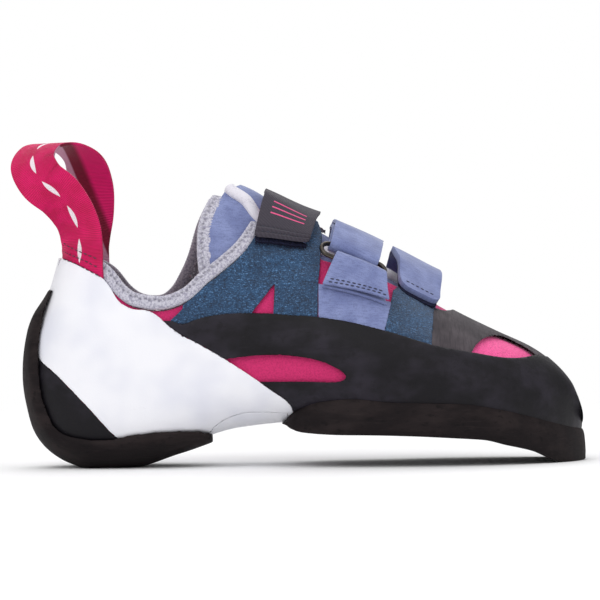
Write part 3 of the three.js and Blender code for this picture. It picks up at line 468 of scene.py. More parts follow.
# Merges crumbs, softens the rims and sets the shading
def softenRims(piece, rounds=1, merge=0.25, rimAngle=38, factor=0.5):
    bm = bmesh.new()
    bm.from_mesh(piece.data)
    bmesh.ops.remove_doubles(bm, verts=bm.verts[:], dist=merge)
    bmesh.ops.dissolve_degenerate(bm, dist=merge / 4, edges=bm.edges[:])
    mainBody(bm)
    for _ in range(rounds):
        rims = [edge for edge in bm.edges if edge.calc_face_angle(0) > math.radians(rimAngle)]
        bmesh.ops.smooth_vert(bm, verts=list({vert for edge in rims for vert in edge.verts}), factor=factor,
                              use_axis_x=True, use_axis_y=True, use_axis_z=True)
    shade(bm)
    bm.to_mesh(piece.data)
    bm.free()
    return piece


def shade(bm, angle=50):
    for face in bm.faces:
        face.smooth = True
    for edge in bm.edges:
        edge.smooth = edge.calc_face_angle(0) < math.radians(angle)


# Distance from points of the side view to an outline
def awayFrom(x, z, outline):
    nearest = np.full(x.shape, 1e9)
    for (ax, az), (bx, bz) in zip(outline, outline[1:]):
        span = max((bx - ax) ** 2 + (bz - az) ** 2, 1e-9)
        t = np.clip(((x - ax) * (bx - ax) + (z - az) * (bz - az)) / span, 0, 1)
        nearest = np.minimum(nearest, np.hypot(x - ax - t * (bx - ax), z - az - t * (bz - az)))
    return nearest


# Thins a plate towards an edge, as skived rubber is; only points near its outer face move
def feather(piece, edge, reach, drop, face, least, slack=0.6, power=1.6):
    seat = BVHTree.FromPolygons([vert.co[:] for vert in lastForm(0).data.vertices],
                                [poly.vertices[:] for poly in lastForm(0).data.polygons])
    for vert in piece.data.vertices:
        _, normal, _, height = seat.find_nearest(vert.co)
        if height is None or height < face - slack:
            continue
        away = float(awayFrom(np.array([vert.co.x]), np.array([vert.co.z]), edge)[0])
        if away < reach:
            vert.co = vert.co - normal * min(drop * (1 - away / reach) ** power, max(0, height - least))


# Moves a finished mesh to its place in the frame, gives it its finishes, hangs it on the frame's root and
# hides the frame parts it stands for
def settle(piece, nodes, finishes):
    piece.data.transform(toScene)
    picked = [poly.material_index for poly in piece.data.polygons]
    piece.data.materials.clear()
    for finish in finishes:
        piece.data.materials.append(finish.material)
    if len(finishes) > 1:
        piece.data.polygons.foreach_set("material_index", picked)
    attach(piece, "root")
    if nodes:
        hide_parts(*nodes)
    return piece


# A flat strap blank with rounded corners, x across and y along, cut into a fine grid
def strapBlank(width, length, corner, pitch=1.0, ends=(True, True)):
    bm = bmesh.new()
    bmesh.ops.create_grid(bm, x_segments=1, y_segments=1, size=0.5)
    bmesh.ops.scale(bm, vec=(width, length, 1), verts=bm.verts[:])
    bmesh.ops.translate(bm, vec=(0, length / 2, 0), verts=bm.verts[:])
    if corner:
        turned = [vert for vert in bm.verts if ends[0 if vert.co.y < length / 2 else 1]]
        bmesh.ops.bevel(bm, geom=turned, affect="VERTICES", offset=corner, segments=6, profile=0.5,
                        material=-1)
    for axis, low, high in ((0, -width / 2, width / 2), (1, 0, length)):
        count = max(int((high - low) / pitch), 1)
        for i in range(1, count):
            spot, normal = [0, 0, 0], [0, 0, 0]
            spot[axis], normal[axis] = low + (high - low) * i / count, 1
            bmesh.ops.bisect_plane(bm, geom=bm.verts[:] + bm.edges[:] + bm.faces[:], dist=1e-6,
                                   plane_co=spot, plane_no=normal)
    cloth = bm.loops.layers.uv.new("cloth")
    for face in bm.faces:
        for loop in face.loops:
            loop[cloth].uv = (loop.vert.co.x / 1000, loop.vert.co.y / 1000)
    return bm


# Gives a bent blank its thickness and soft edges
def thicken(name, bm, thick, edge, angle=40):
    shade(bm)
    piece = newObject(name, bm)
    wall = piece.modifiers.new("Wall", "SOLIDIFY")
    wall.thickness, wall.offset, wall.use_even_offset = thick, 0, True
    soft = piece.modifiers.new("Edge", "BEVEL")
    soft.width, soft.segments, soft.limit_method, soft.angle_limit = edge, 2, "ANGLE", math.radians(angle)
    bake(piece)
    bm = bmesh.new()
    bm.from_mesh(piece.data)
    bmesh.ops.recalc_face_normals(bm, faces=bm.faces[:])
    shade(bm, 60)
    bm.to_mesh(piece.data)
    bm.free()
    return piece


# Places round the last at distances from the crest, measured at the height of the straps
def wrap(x, girth, height, clearance=7, step=math.radians(3), reach=40):
    x, girth, height = (np.asarray(value, float) for value in (x, girth, height))
    u = turnOf((x - heelSoleFace) / lastLength)
    turnsRound = math.pi / 2 - step * np.arange(-reach, reach + 1)
    ring = lastPoint(u[:, None], turnsRound[None, :])
    ring = ring + lastNormal(u[:, None], np.broadcast_to(turnsRound, (len(u), len(turnsRound)))) * clearance
    steps = np.linalg.norm(np.diff(ring, axis=1), axis=2)
    walked = np.concatenate([np.zeros((len(u), 1)), np.cumsum(steps, axis=1)], 1)
    walked -= walked[:, reach:reach + 1]
    angle = np.array([np.interp(g, row, turnsRound) for g, row in zip(girth, walked)])
    return lastPoint(u, angle) + lastNormal(u, angle) * height[:, None]


# Places of a flat strap's points (across, along) once it is bent along its route of (girth, height)
def strapPlaces(form, across, along, lift=0):
    route = Route([(girth, height, 0) for girth, height in form["route"]])
    shareAt, length = route.measured()
    across, along = np.broadcast_arrays(np.asarray(across, float), np.asarray(along, float))
    share = across / form["width"]
    pull = form.get("skew", 0) * (1 - along / length) - form.get("endSkew", 0) * along / length
    spot = route.point(shareAt(along + pull * (0.5 + share)))
    girth, height = spot[:, 0], spot[:, 1]
    scale = 1 + form.get("flare", 0) * (girth - form["route"][0][0]) / form["width"]
    crest = smoothStep(girth, -20, -6) * (1 - smoothStep(girth, 6, 20))
    height = height - crest * (form.get("sink", 0) * (0.5 - share) + form.get("dip", 0) * (0.5 + share))
    for ridge in form.get("ridges", []):
        height = height + ridge["depth"] * np.exp(-((along - ridge["at"]) / ridge["half"]) ** 2)
    shift = form.get("slant", 0) * np.minimum(girth, 0) + form.get("lean", 0) * np.clip(girth, 0, 10)
    return wrap(form["at"] * shoe["length"] + shift + across * scale, girth, height + lift)


def strap(name, form):
    _, length = Route([(girth, height, 0) for girth, height in form["route"]]).measured()
    bm = strapBlank(form["width"], length, form.get("corner", 0), form.get("pitch", 1),
                    form.get("ends", (True, True)))
    flat = coordsOf(bm)
    place(bm, strapPlaces(form, flat[:, 0], flat[:, 1]))
    return thicken(name, bm, form["thick"], form.get("edge", 0.3))


# A row of stitches across or along a strap, between two places of its flat blank
def strapStitches(bm, form, start, end, **more):
    across, along = (np.linspace(a, b, 40) for a, b in zip(start, end))
    face = form["thick"] / 2
    points, proud = (strapPlaces(form, across, along, face + lift) for lift in (0, 1))
    stitches(bm, points, proud - points, **more)


# Shares of a hair's length, and of its root's radius at the tip
hairForm = {"shortest": 0.5, "longest": 1.2, "tip": 0.2, "rooted": 0.42}


# Short tapered hairs from places of a surface, leaning a way, each with its own length and turn
def hairs(bm, points, ways, length, radius=0.11, stray=0.5):
    for point, way in zip(points, ways):
        way = Vector(way).normalized() + Vector([random.uniform(-stray, stray) for _ in range(3)])
        reach = length * random.uniform(hairForm["shortest"], hairForm["longest"])
        made = bmesh.ops.create_cone(bm, cap_ends=True, segments=3, radius1=radius,
                                     radius2=radius * hairForm["tip"], depth=reach)
        turn = way.to_track_quat("Z", "Y").to_matrix().to_4x4()
        turn = Matrix.Translation(Vector(point) + way.normalized() * reach * hairForm["rooted"]) @ turn
        bmesh.ops.transform(bm, matrix=turn, verts=made["verts"])


# A closed tube along places on the last, with its width and thickness along it; a fullness of 2 makes it
# oval, and its ends close over capReach, from the share capLeast of its size
def laidTube(centre, outward, sizes, sides=28, pitch=0.7, fullness=2.6, capReach=1.4, capLeast=0.12):
    shareAt, length = centre.measured()
    steps = int(length / pitch)
    bm = bmesh.new()
    bmesh.ops.create_cone(bm, cap_ends=True, cap_tris=False, segments=sides, radius1=0.5, radius2=0.5,
                          depth=1)
    sideEdges = [edge for edge in bm.edges if abs(edge.verts[0].co.z - edge.verts[1].co.z) > 0.5]
    bmesh.ops.subdivide_edges(bm, edges=sideEdges, cuts=steps, use_grid_fill=True)
    bar = coordsOf(bm)
    turn = np.arctan2(bar[:, 1], bar[:, 0])
    reach = (np.abs(np.cos(turn)) ** fullness + np.abs(np.sin(turn)) ** fullness) ** (-1 / fullness) / 2
    lengths = (bar[:, 2] + 0.5) * length
    t = shareAt(lengths)
    ends = np.sqrt(np.clip(np.minimum(lengths, length - lengths) / capReach, capLeast, 1))
    out = outward.point(t)
    out /= np.linalg.norm(out, axis=1, keepdims=True)
    side = np.cross(out, centre.tangent(t))
    side /= np.linalg.norm(side, axis=1, keepdims=True)
    size = sizes.point(t) * ends[:, None]
    cloth = bm.loops.layers.uv.new("cloth")
    around = dict(zip(bm.verts, turn))
    run = dict(zip(bm.verts, lengths))
    for face in bm.faces:
        base = around[face.verts[0]]
        for loop in face.loops:
            angle = around[loop.vert]
            angle -= 2 * math.pi * round((angle - base) / (2 * math.pi))
            loop[cloth].uv = (angle / (2 * math.pi), run[loop.vert] / 1000)
    flat = np.stack([np.cos(turn) * reach * size[:, 1], np.sin(turn) * reach * size[:, 0]], 1)
    place(bm, centre.point(t) + out * flat[:, :1] + side * flat[:, 1:2])
    return bm, {"turn": turn, "lengths": lengths, "out": out, "side": side, "flat": flat, "length": length}


# Shares of a stitch: its height of its width, its half length, and how far it stands out of its radius
stitchForm = {"flat": 0.8, "half": 0.55, "proud": 0.4}


# Small round-ended stitches in a row: each lies along the path, on the surface whose outward way is given
def stitches(bm, points, outs, length=1.9, gap=0.9, radius=0.24):
    points, outs = np.array(points), np.array(outs)
    reach = np.concatenate([[0], np.cumsum(np.linalg.norm(np.diff(points, axis=0), axis=1))])
    spot = gap
    while spot + length < reach[-1]:
        places = [spot + share * length for share in (0, 0.5, 1)]
        ends = [Vector([np.interp(at, reach, points[:, i]) for i in range(3)]) for at in places]
        out = Vector([np.interp(spot + length / 2, reach, outs[:, i]) for i in range(3)]).normalized()
        along = (ends[2] - ends[0]).normalized()
        across = out.cross(along).normalized()
        made = bmesh.ops.create_uvsphere(bm, u_segments=6, v_segments=5, radius=1)["verts"]
        turn = Matrix((across, out, along)).transposed().to_4x4()
        bmesh.ops.scale(bm, vec=(radius, radius * stitchForm["flat"], length * stitchForm["half"]),
                        verts=made)
        turn = Matrix.Translation(ends[1] + out * radius * stitchForm["proud"]) @ turn
        bmesh.ops.transform(bm, matrix=turn, verts=made)
        spot += length + gap


# Shader expressions: a socket that takes part in plain arithmetic
class Wire:
    def __init__(self, finish, socket):
        self.finish = finish
        self.socket = socket

    def math(self, operation, first, second):
        return self.finish.node("Math", {"operation": operation}, {0: first, 1: second})

    def __add__(self, other):
        return self.math("ADD", self, other)

    def __radd__(self, other):
        return self.math("ADD", other, self)

    def __sub__(self, other):
        return self.math("SUBTRACT", self, other)

    def __rsub__(self, other):
        return self.math("SUBTRACT", other, self)

    def __mul__(self, other):
        return self.math("MULTIPLY", self, other)

    def __rmul__(self, other):
        return self.math("MULTIPLY", other, self)

    def __truediv__(self, other):
        return self.math("DIVIDE", self, other)

    def __pow__(self, other):
        return self.math("POWER", self, other)


def tone(red, green, blue):
    shares = [channel / 255 for channel in (red, green, blue)]
    return (*(s / 12.92 if s <= 0.04045 else ((s + 0.055) / 1.055) ** 2.4 for s in shares), 1)


# One material; constants go on the shader's own sockets
class Finish:
    def __init__(self, name, constants):
        self.material = bpy.data.materials.new(name)
        self.material.use_nodes = True
        self.tree = self.material.node_tree
        self.shader = self.tree.nodes["Principled BSDF"]
        for socket, value in constants.items():
            self.shader.inputs[socket].default_value = value
        self.object = self.node("TexCoord", {}, {}, "Object")
        self.cloth = self.node("UVMap", {"uv_map": "cloth"}, {}, "UV")

    def node(self, kind, settings=None, sockets=None, output=0):
        made = self.tree.nodes.new("ShaderNode" + kind)
        for setting, value in (settings or {}).items():
            if setting == "stops":
                for i, (at, colour) in enumerate(value):
                    stop = made.color_ramp.elements[i] if i < 2 else made.color_ramp.elements.new(at)
                    stop.position, stop.color = at, colour
            else:
                setattr(made, setting, value)
        for socket, value in (sockets or {}).items():
            if isinstance(value, Wire):
                self.tree.links.new(value.socket, made.inputs[socket])
            else:
                made.inputs[socket].default_value = value
        return Wire(self, made.outputs[output])

    def give(self, socket, value):
        self.tree.links.new(value.socket, self.shader.inputs[socket])

    # millimetres of the object, or of the flat cloth, stretched if need be
    def mapped(self, source=None, stretch=(1, 1, 1), turn=0):
        size = tuple(1000 * share for share in stretch)
        sockets = {"Vector": source or self.object, "Scale": size, "Rotation": (0, turn, 0)}
        return self.node("Mapping", {}, sockets)

    # cloudy noise with features of a size in millimetres
    def noise(self, size, detail=2, rough=0.5, where=None):
        sockets = {"Vector": where or self.mapped(), "Scale": 1 / size, "Detail": detail, "Roughness": rough}
        return self.node("TexNoise", {}, sockets)

    def cells(self, size, where=None, feature="F1"):
        sockets = {"Vector": where or self.mapped(), "Scale": 1 / size}
        return self.node("TexVoronoi", {"feature": feature}, sockets)

    def ribs(self, pitch, where, direction="X", blur=0):
        settings = {"wave_type": "BANDS", "bands_direction": direction, "wave_profile": "SIN"}
        sockets = {"Vector": where, "Scale": math.pi / 10 / pitch, "Distortion": blur, "Detail Scale": 1}
        return self.node("TexWave", settings, sockets, "Fac")

    # 0 below one edge, 1 above the other
    def ramp(self, value, low, high):
        sockets = {"Value": value, "From Min": low, "From Max": high}
        return self.node("MapRange", {"interpolation_type": "SMOOTHSTEP"}, sockets)

    def mix(self, share, first, second):
        return self.node("Mix", {"data_type": "RGBA"}, {0: share, 6: first, 7: second}, 2)

    def bump(self, height, depth, over=None):
        sockets = {"Height": height, "Distance": depth / 1000, "Strength": 1}
        if over:
            sockets["Normal"] = over
        return self.node("Bump", {}, sockets)

    def axis(self, source, index):
        return self.node("SeparateXYZ", {}, {0: source}, index)

    def math(self, operation, first, second=0):
        return self.node("Math", {"operation": operation}, {0: first, 1: second})

    def attribute(self, name):
        return self.node("Attribute", {"attribute_name": name}, {}, "Fac")


# Finishes
pinkLook = {"deep": tone(150, 14, 70), "face": tone(205, 38, 106), "light": tone(250, 88, 160), "fleck": 0.7,
            "toeFrom": 30, "toeTo": 80, "depth": 0.3}


def pinkFinish():
    finish = Finish("pink_mesh", {"Roughness": 0.88, "Sheen Weight": 0.2, "Sheen Roughness": 0.4})
    x = finish.axis(finish.mapped(), 0)
    fleck = finish.noise(pinkLook["fleck"], 3, 0.6)
    knit = finish.cells(1.5, finish.mapped(stretch=(1, 1, 1.2)))
    base = finish.mix(finish.ramp(x, pinkLook["toeFrom"], pinkLook["toeTo"]), pinkLook["face"],
                      pinkLook["light"])
    finish.give("Base Color", finish.mix(finish.ramp(fleck, 0.62, 0.3) * 0.45, base, pinkLook["deep"]))
    finish.give("Normal", finish.bump(fleck + knit * 0.5, pinkLook["depth"]))
    return finish


slateLook = {"shade": tone(74, 82, 122), "face": tone(108, 119, 166), "light": tone(132, 143, 188),
             "grain": 0.45,
             "cloud": 9, "depth": 0.12}


def slateFinish(name, onCloth=False):
    finish = Finish(name, {"Roughness": 0.82, "Sheen Weight": 0.25, "Sheen Roughness": 0.5})
    source = finish.cloth if onCloth else None
    spot = finish.mapped(source)
    grain = finish.noise(slateLook["grain"], 3, 0.65, spot)
    cloud = finish.noise(slateLook["cloud"], 2, 0.5, spot)
    weave = finish.noise(0.7, 1, 0.5, finish.mapped(source, (0.25, 1, 1)))
    base = finish.mix(finish.ramp(cloud, 0.3, 0.72), slateLook["face"], slateLook["light"])
    fleck = finish.ramp(grain * 0.6 + weave * 0.4, 0.58, 0.34) * 0.5
    finish.give("Base Color", finish.mix(fleck, base, slateLook["shade"]))
    finish.give("Roughness", 0.74 + finish.ramp(cloud, 0.2, 0.8) * 0.14)
    finish.give("Normal", finish.bump(grain + weave * 0.6, slateLook["depth"]))
    return finish


pileLook = {"deep": tone(12, 28, 50), "face": tone(36, 74, 112), "fibre": tone(104, 152, 202), "loop": 0.55,
            "clump": 2.6, "cloud": 14, "depth": 0.9}


def pileFinish():
    finish = Finish("loop_pile", {"Roughness": 0.95, "Sheen Weight": 0.15, "Sheen Roughness": 0.6})
    loop = finish.noise(pileLook["loop"], 4, 0.7)
    clump = finish.noise(pileLook["clump"], 3, 0.6)
    cloud = finish.noise(pileLook["cloud"], 2, 0.5)
    strand = finish.noise(0.5, 2, 0.6, finish.mapped(stretch=(0.35, 1, 1), turn=0.6))
    nap = loop * 0.5 + clump * 0.25 + strand * 0.25
    base = finish.mix(finish.ramp(nap, 0.36, 0.56), pileLook["deep"], pileLook["face"])
    lit = finish.mix(finish.ramp(loop * 0.6 + strand * 0.4, 0.52, 0.66) * 0.85, base, pileLook["fibre"])
    shaded = finish.mix(finish.ramp(cloud, 0.66, 0.3) * 0.35, lit, pileLook["deep"])
    finish.give("Base Color", shaded)
    finish.give("Normal", finish.bump(nap, pileLook["depth"]))
    return finish


# The pit colour is painted shade: it darkens the stitching pits, and the lowest hollows of the nap on a band
# without pits
terryLook = {"pit": tone(52, 48, 66), "shade": tone(158, 155, 174), "face": tone(204, 202, 214), "loop": 0.5,
             "depth": 0.55}


def terryFinish(name, tint=(1, 1, 1), pitted=True):
    finish = Finish(name, {"Roughness": 0.95, "Sheen Weight": 0.3, "Sheen Roughness": 0.5})
    pit, dim, face = ((*(a * b for a, b in zip(terryLook[key], tint)), 1) for key in ("pit", "shade", "face"))
    loop = finish.noise(terryLook["loop"], 3, 0.65)
    knit = finish.cells(0.9)
    nap = loop * 0.6 + (1 - knit) * 0.4
    base = finish.mix(finish.ramp(nap, 0.34, 0.58), dim, face)
    # painted shade: the stitching pits are darkened; a band without pits is darkened in the lowest hollows of
    # the nap instead
    pitShade = finish.attribute("pit") if pitted else finish.ramp(nap, 0.33, 0.2)
    finish.give("Base Color", finish.mix(pitShade * 0.85, base, pit))
    finish.give("Normal", finish.bump(nap, terryLook["depth"]))
    return finish


rollLook = {"face": tone(222, 219, 228), "shade": tone(182, 178, 192), "depth": 0.16}


def rollFinish():
    finish = Finish("roll_knit", {"Roughness": 0.9, "Sheen Weight": 0.3, "Sheen Roughness": 0.5})
    fine, cloud = finish.noise(0.55, 3, 0.6), finish.noise(6, 2, 0.5)
    dimmed = finish.ramp(fine * 0.6 + cloud * 0.4, 0.5, 0.3)
    finish.give("Base Color", finish.mix(dimmed, rollLook["face"], rollLook["shade"]))
    finish.give("Normal", finish.bump(fine, rollLook["depth"]))
    return finish


hookLook = {"face": tone(34, 36, 62), "dark": tone(12, 13, 28), "depth": 0.3}


def hookFinish():
    finish = Finish("hook_tape", {"Roughness": 0.85, "Specular IOR Level": 0.2})
    fine = finish.noise(0.5, 3, 0.7)
    finish.give("Base Color", finish.mix(finish.ramp(fine, 0.6, 0.4), hookLook["face"], hookLook["dark"]))
    finish.give("Normal", finish.bump(fine, hookLook["depth"]))
    return finish


whiteLook = {"face": tone(238, 238, 243), "cool": tone(222, 223, 233), "scuff": tone(205, 203, 208),
             "depth": 0.05}


def whiteFinish():
    finish = Finish("white_rubber", {"Roughness": 0.42, "Coat Weight": 0.08, "Coat Roughness": 0.4})
    cloud = finish.noise(26, 2, 0.5)
    fine = finish.noise(0.6, 3, 0.6)
    streak = finish.noise(3.2, 4, 0.7, finish.mapped(stretch=(0.25, 0.6, 1), turn=0.5))
    base = finish.mix(finish.ramp(cloud, 0.35, 0.7), whiteLook["face"], whiteLook["cool"])
    finish.give("Base Color", finish.mix(finish.ramp(streak, 0.66, 0.8) * 0.25, base, whiteLook["scuff"]))
    finish.give("Roughness", 0.36 + finish.ramp(cloud, 0.2, 0.8) * 0.1 + fine * 0.06)
    finish.give("Normal", finish.bump(fine + cloud * 2, whiteLook["depth"]))
    return finish


randLook = {"face": tone(17, 15, 20), "cloud": tone(44, 40, 50), "dark": tone(8, 6, 10),
            "dust": tone(72, 67, 74),
            "depth": 0.1}


def randFinish():
    finish = Finish("rand_rubber", {"Roughness": 0.5, "Specular IOR Level": 0.2})
    cloud = finish.noise(17, 3, 0.6, finish.mapped(stretch=(0.6, 1, 1)))
    mottle = finish.noise(4, 4, 0.65)
    fine = finish.noise(0.5, 3, 0.6)
    streak = finish.noise(1.6, 4, 0.7, finish.mapped(stretch=(0.12, 0.6, 1)))
    base = finish.mix(finish.ramp(cloud, 0.4, 0.72) * 0.75, randLook["face"], randLook["cloud"])
    base = finish.mix(finish.ramp(mottle, 0.5, 0.3) * 0.5, base, randLook["dark"])
    finish.give("Base Color", finish.mix(finish.ramp(streak, 0.64, 0.82) * 0.25, base, randLook["dust"]))
    finish.give("Roughness", 0.42 + mottle * 0.16 + streak * 0.1)
    finish.give("Normal", finish.bump(fine * 0.4 + mottle * 1.6 + streak, randLook["depth"]))
    return finish


soleLook = {"face": tone(22, 16, 18), "ground": tone(48, 40, 40), "dark": tone(9, 6, 8), "depth": 0.22}


def soleFinish():
    finish = Finish("sole_rubber", {"Roughness": 0.72, "Specular IOR Level": 0.15})
    grooves = finish.noise(0.9, 4, 0.75, finish.mapped(stretch=(0.06, 0.1, 1)))
    patch = finish.noise(13, 3, 0.6, finish.mapped(stretch=(0.5, 1, 1.4)))
    mottle = finish.noise(2.2, 4, 0.65, finish.mapped(stretch=(0.5, 1, 1)))
    fine = finish.noise(0.4, 2, 0.6)
    base = finish.mix(finish.ramp(patch, 0.4, 0.68) * 0.55, soleLook["face"], soleLook["ground"])
    base = finish.mix(finish.ramp(grooves, 0.56, 0.74) * 0.5, base, soleLook["ground"])
    finish.give("Base Color", finish.mix(finish.ramp(mottle, 0.46, 0.3) * 0.7, base, soleLook["dark"]))
    finish.give("Roughness", 0.62 + patch * 0.2)
    finish.give("Normal", finish.bump(grooves + mottle * 0.5 + fine * 0.25, soleLook["depth"]))
    return finish


patchLook = {"face": tone(56, 50, 55), "light": tone(76, 69, 74), "dark": tone(34, 29, 34), "depth": 0.1}


def patchFinish():
    finish = Finish("toe_rubber", {"Roughness": 0.72, "Specular IOR Level": 0.35})
    brushed = finish.noise(0.8, 3, 0.6, finish.mapped(stretch=(1, 0.1, 0.12)))
    cloud = finish.noise(11, 2, 0.5)
    fine = finish.noise(0.5, 2, 0.6)
    base = finish.mix(finish.ramp(cloud, 0.35, 0.7), patchLook["face"], patchLook["light"])
    finish.give("Base Color", finish.mix(finish.ramp(brushed, 0.55, 0.35) * 0.5, base, patchLook["dark"]))
    finish.give("Normal", finish.bump(brushed + fine * 0.5, patchLook["depth"]))
    return finish


liningLook = {"face": tone(150, 142, 152), "shade": tone(92, 84, 94), "depth": 0.3}


def liningFinish():
    finish = Finish("lining", {"Roughness": 0.95, "Sheen Weight": 0.2})
    weave = finish.cells(1.1)
    fine = finish.noise(0.6, 2, 0.6)
    dimmed = finish.ramp(weave + fine * 0.5, 0.4, 0.9)
    finish.give("Base Color", finish.mix(dimmed, liningLook["face"], liningLook["shade"]))
    finish.give("Normal", finish.bump(1 - weave, liningLook["depth"]))
    return finish


insoleLook = {"face": tone(196, 188, 176), "shade": tone(150, 140, 130), "depth": 0.15}


def insoleFinish():
    finish = Finish("insole_cloth", {"Roughness": 0.92})
    spot = finish.mapped()
    weave = finish.ribs(0.9, spot, "X") * 0.5 + finish.ribs(0.9, spot, "Y") * 0.5
    worn = finish.noise(18, 3, 0.5)
    base = finish.mix(finish.ramp(worn, 0.35, 0.7), insoleLook["face"], insoleLook["shade"])
    finish.give("Base Color", finish.mix(weave * 0.3, base, insoleLook["shade"]))
    finish.give("Normal", finish.bump(weave, insoleLook["depth"]))
    return finish


threadLook = {"dark": tone(26, 27, 46), "crimson": tone(84, 4, 32), "black": tone(16, 14, 18),
              "lit": tone(90, 92, 120)}


def threadFinish(name, colour):
    finish = Finish(name, {"Roughness": 0.7})
    twist = finish.noise(0.35, 1, 0.5)
    finish.give("Base Color", finish.mix(finish.ramp(twist, 0.35, 0.65) * 0.4, colour, threadLook["lit"]))
    return finish


tabLook = {"face": tone(62, 56, 68), "dark": tone(30, 26, 36), "bar": tone(232, 86, 140), "depth": 0.12}
# Plain printed bars of the tab: their places along it, and their half sizes across and along with a soft rim
tabBars = {"along": (15, 19, 23), "halfAcross": 6.5, "halfAlong": 0.3, "rimAcross": 0.2, "rimAlong": 0.25}


def tabFinish():
    finish = Finish("tab_rubber", {"Roughness": 0.66, "Specular IOR Level": 0.4})
    spot = finish.mapped(finish.cloth)
    x, y = finish.axis(spot, 0), finish.axis(spot, 1)
    weave = finish.ribs(0.8, spot, "DIAGONAL", 0.4)
    fine = finish.noise(0.4, 2, 0.6, spot)

    # 1 within a half size of a place, 0 past its rim
    def within(value, at, half, rim):
        return finish.ramp(value, at - half - rim, at - half) * finish.ramp(value, at + half + rim, at + half)

    shown = [within(y, at, tabBars["halfAlong"], tabBars["rimAlong"]) for at in tabBars["along"]]
    bars = (shown[0] + shown[1] + shown[2]) * within(x, 0, tabBars["halfAcross"], tabBars["rimAcross"])
    base = finish.mix(weave * 0.35 + fine * 0.3, tabLook["face"], tabLook["dark"])
    finish.give("Base Color", finish.mix(bars, base, tabLook["bar"]))
    finish.give("Normal", finish.bump(weave + fine * 0.5 + bars * 0.8, tabLook["depth"]))
    return finish



# The printed front has white dashes; the back has a pale part behind a slanting line of the side view, then a
# strip of painted shadow in deep crimson, then bright crimson
ribbonLook = {"deep": tone(120, 0, 42), "face": tone(198, 0, 80), "light": tone(220, 4, 98), "rib": 0.62,
              "depth": 0.16,
              "print": tone(240, 232, 238), "dash": 15, "half": 1.0, "length": 5.2}
ribbonBackLook = {"bright": tone(236, 14, 112), "pale": tone(206, 150, 176), "lineX": -99.8, "lineZ": 134,
                  "slant": 0.39, "shadowFadesFrom": 4, "shadowFadesTo": 7, "rim": 0.5}


def ribbonFinish(name, printed):
    finish = Finish(name, {"Roughness": 0.6, "Specular IOR Level": 0.3})
    spot = finish.mapped(finish.cloth)
    x, y = finish.axis(spot, 0), finish.axis(spot, 1)
    ribs = finish.ribs(ribbonLook["rib"], spot, "Y", 0.15)
    fine = finish.noise(0.35, 2, 0.6, spot)
    cloud = finish.noise(8, 2, 0.5, spot)
    base = finish.mix(finish.ramp(cloud, 0.3, 0.7), ribbonLook["face"], ribbonLook["light"])
    if not printed:
        look, seen = ribbonBackLook, finish.mapped()
        # past the slanting line: the pale part behind it, then deep crimson as a painted shadow strip fading
        # into bright crimson
        past = finish.axis(seen, 0) - look["lineX"] - (look["lineZ"] - finish.axis(seen, 2)) * look["slant"]
        base = finish.mix(finish.ramp(past, look["shadowFadesFrom"], look["shadowFadesTo"]), ribbonLook["deep"],
                          look["bright"])
        base = finish.mix(finish.ramp(past, look["rim"], -look["rim"]), base, look["pale"])
    base = finish.mix(finish.ramp(ribs, 0.45, 0.05) * 0.45, base, ribbonLook["deep"])
    if printed:
        step = finish.math("PINGPONG", y, ribbonLook["dash"] / 2)
        reach = 1 - (step / ribbonLook["length"]) ** 2
        shown = finish.ramp(ribbonLook["half"] * reach - finish.math("ABSOLUTE", x), -0.12, 0.12)
        base = finish.mix(shown * 0.95, base, ribbonLook["print"])
    finish.give("Base Color", base)
    finish.give("Normal", finish.bump(ribs + fine * 0.3, ribbonLook["depth"]))
    return finish


# Dark plated wire; its pale brass flecks at random are painted highlights
wireLook = {"dark": tone(70, 66, 64), "worn": tone(120, 110, 92)}


def wireFinish():
    finish = Finish("plated_wire", {"Roughness": 0.28, "Metallic": 1})
    worn = finish.noise(0.8, 3, 0.6)
    # pale brass flecks mixed in at random as painted highlights of the dark wire
    finish.give("Base Color", finish.mix(finish.ramp(worn, 0.45, 0.7) * 0.5, wireLook["dark"],
                                         wireLook["worn"]))
    finish.give("Roughness", 0.22 + worn * 0.2)
    return finish


pink, lining, insoleCloth = pinkFinish(), liningFinish(), insoleFinish()
slate, slateStrap = slateFinish("slate_panel"), slateFinish("slate_strap", True)
tongueCloth = slateFinish("tongue_cloth")
pile, terry, roll, hook = pileFinish(), terryFinish("terry"), rollFinish(), hookFinish()
# a darker, browner copy of the terry for the band's inward faces: painted shade of the shoe's inside
terryInPaintedShade = terryFinish("terry_inside_painted_shade", (0.5, 0.44, 0.46))
white, rand, sole, patch = whiteFinish(), randFinish(), soleFinish(), patchFinish()
darkThread, crimsonThread, blackThread = (
    threadFinish(f"{name}_thread", threadLook[name]) for name in ("dark", "crimson", "black"))
tab, ribbon = tabFinish(), ribbonFinish("ribbon", True)
ribbonBack, wire = ribbonFinish("ribbon_back", False), wireFinish()
print("finishes made")


# Regions of the side view that the plates share
def corner(x, z):
    return (x * shoe["length"], z)


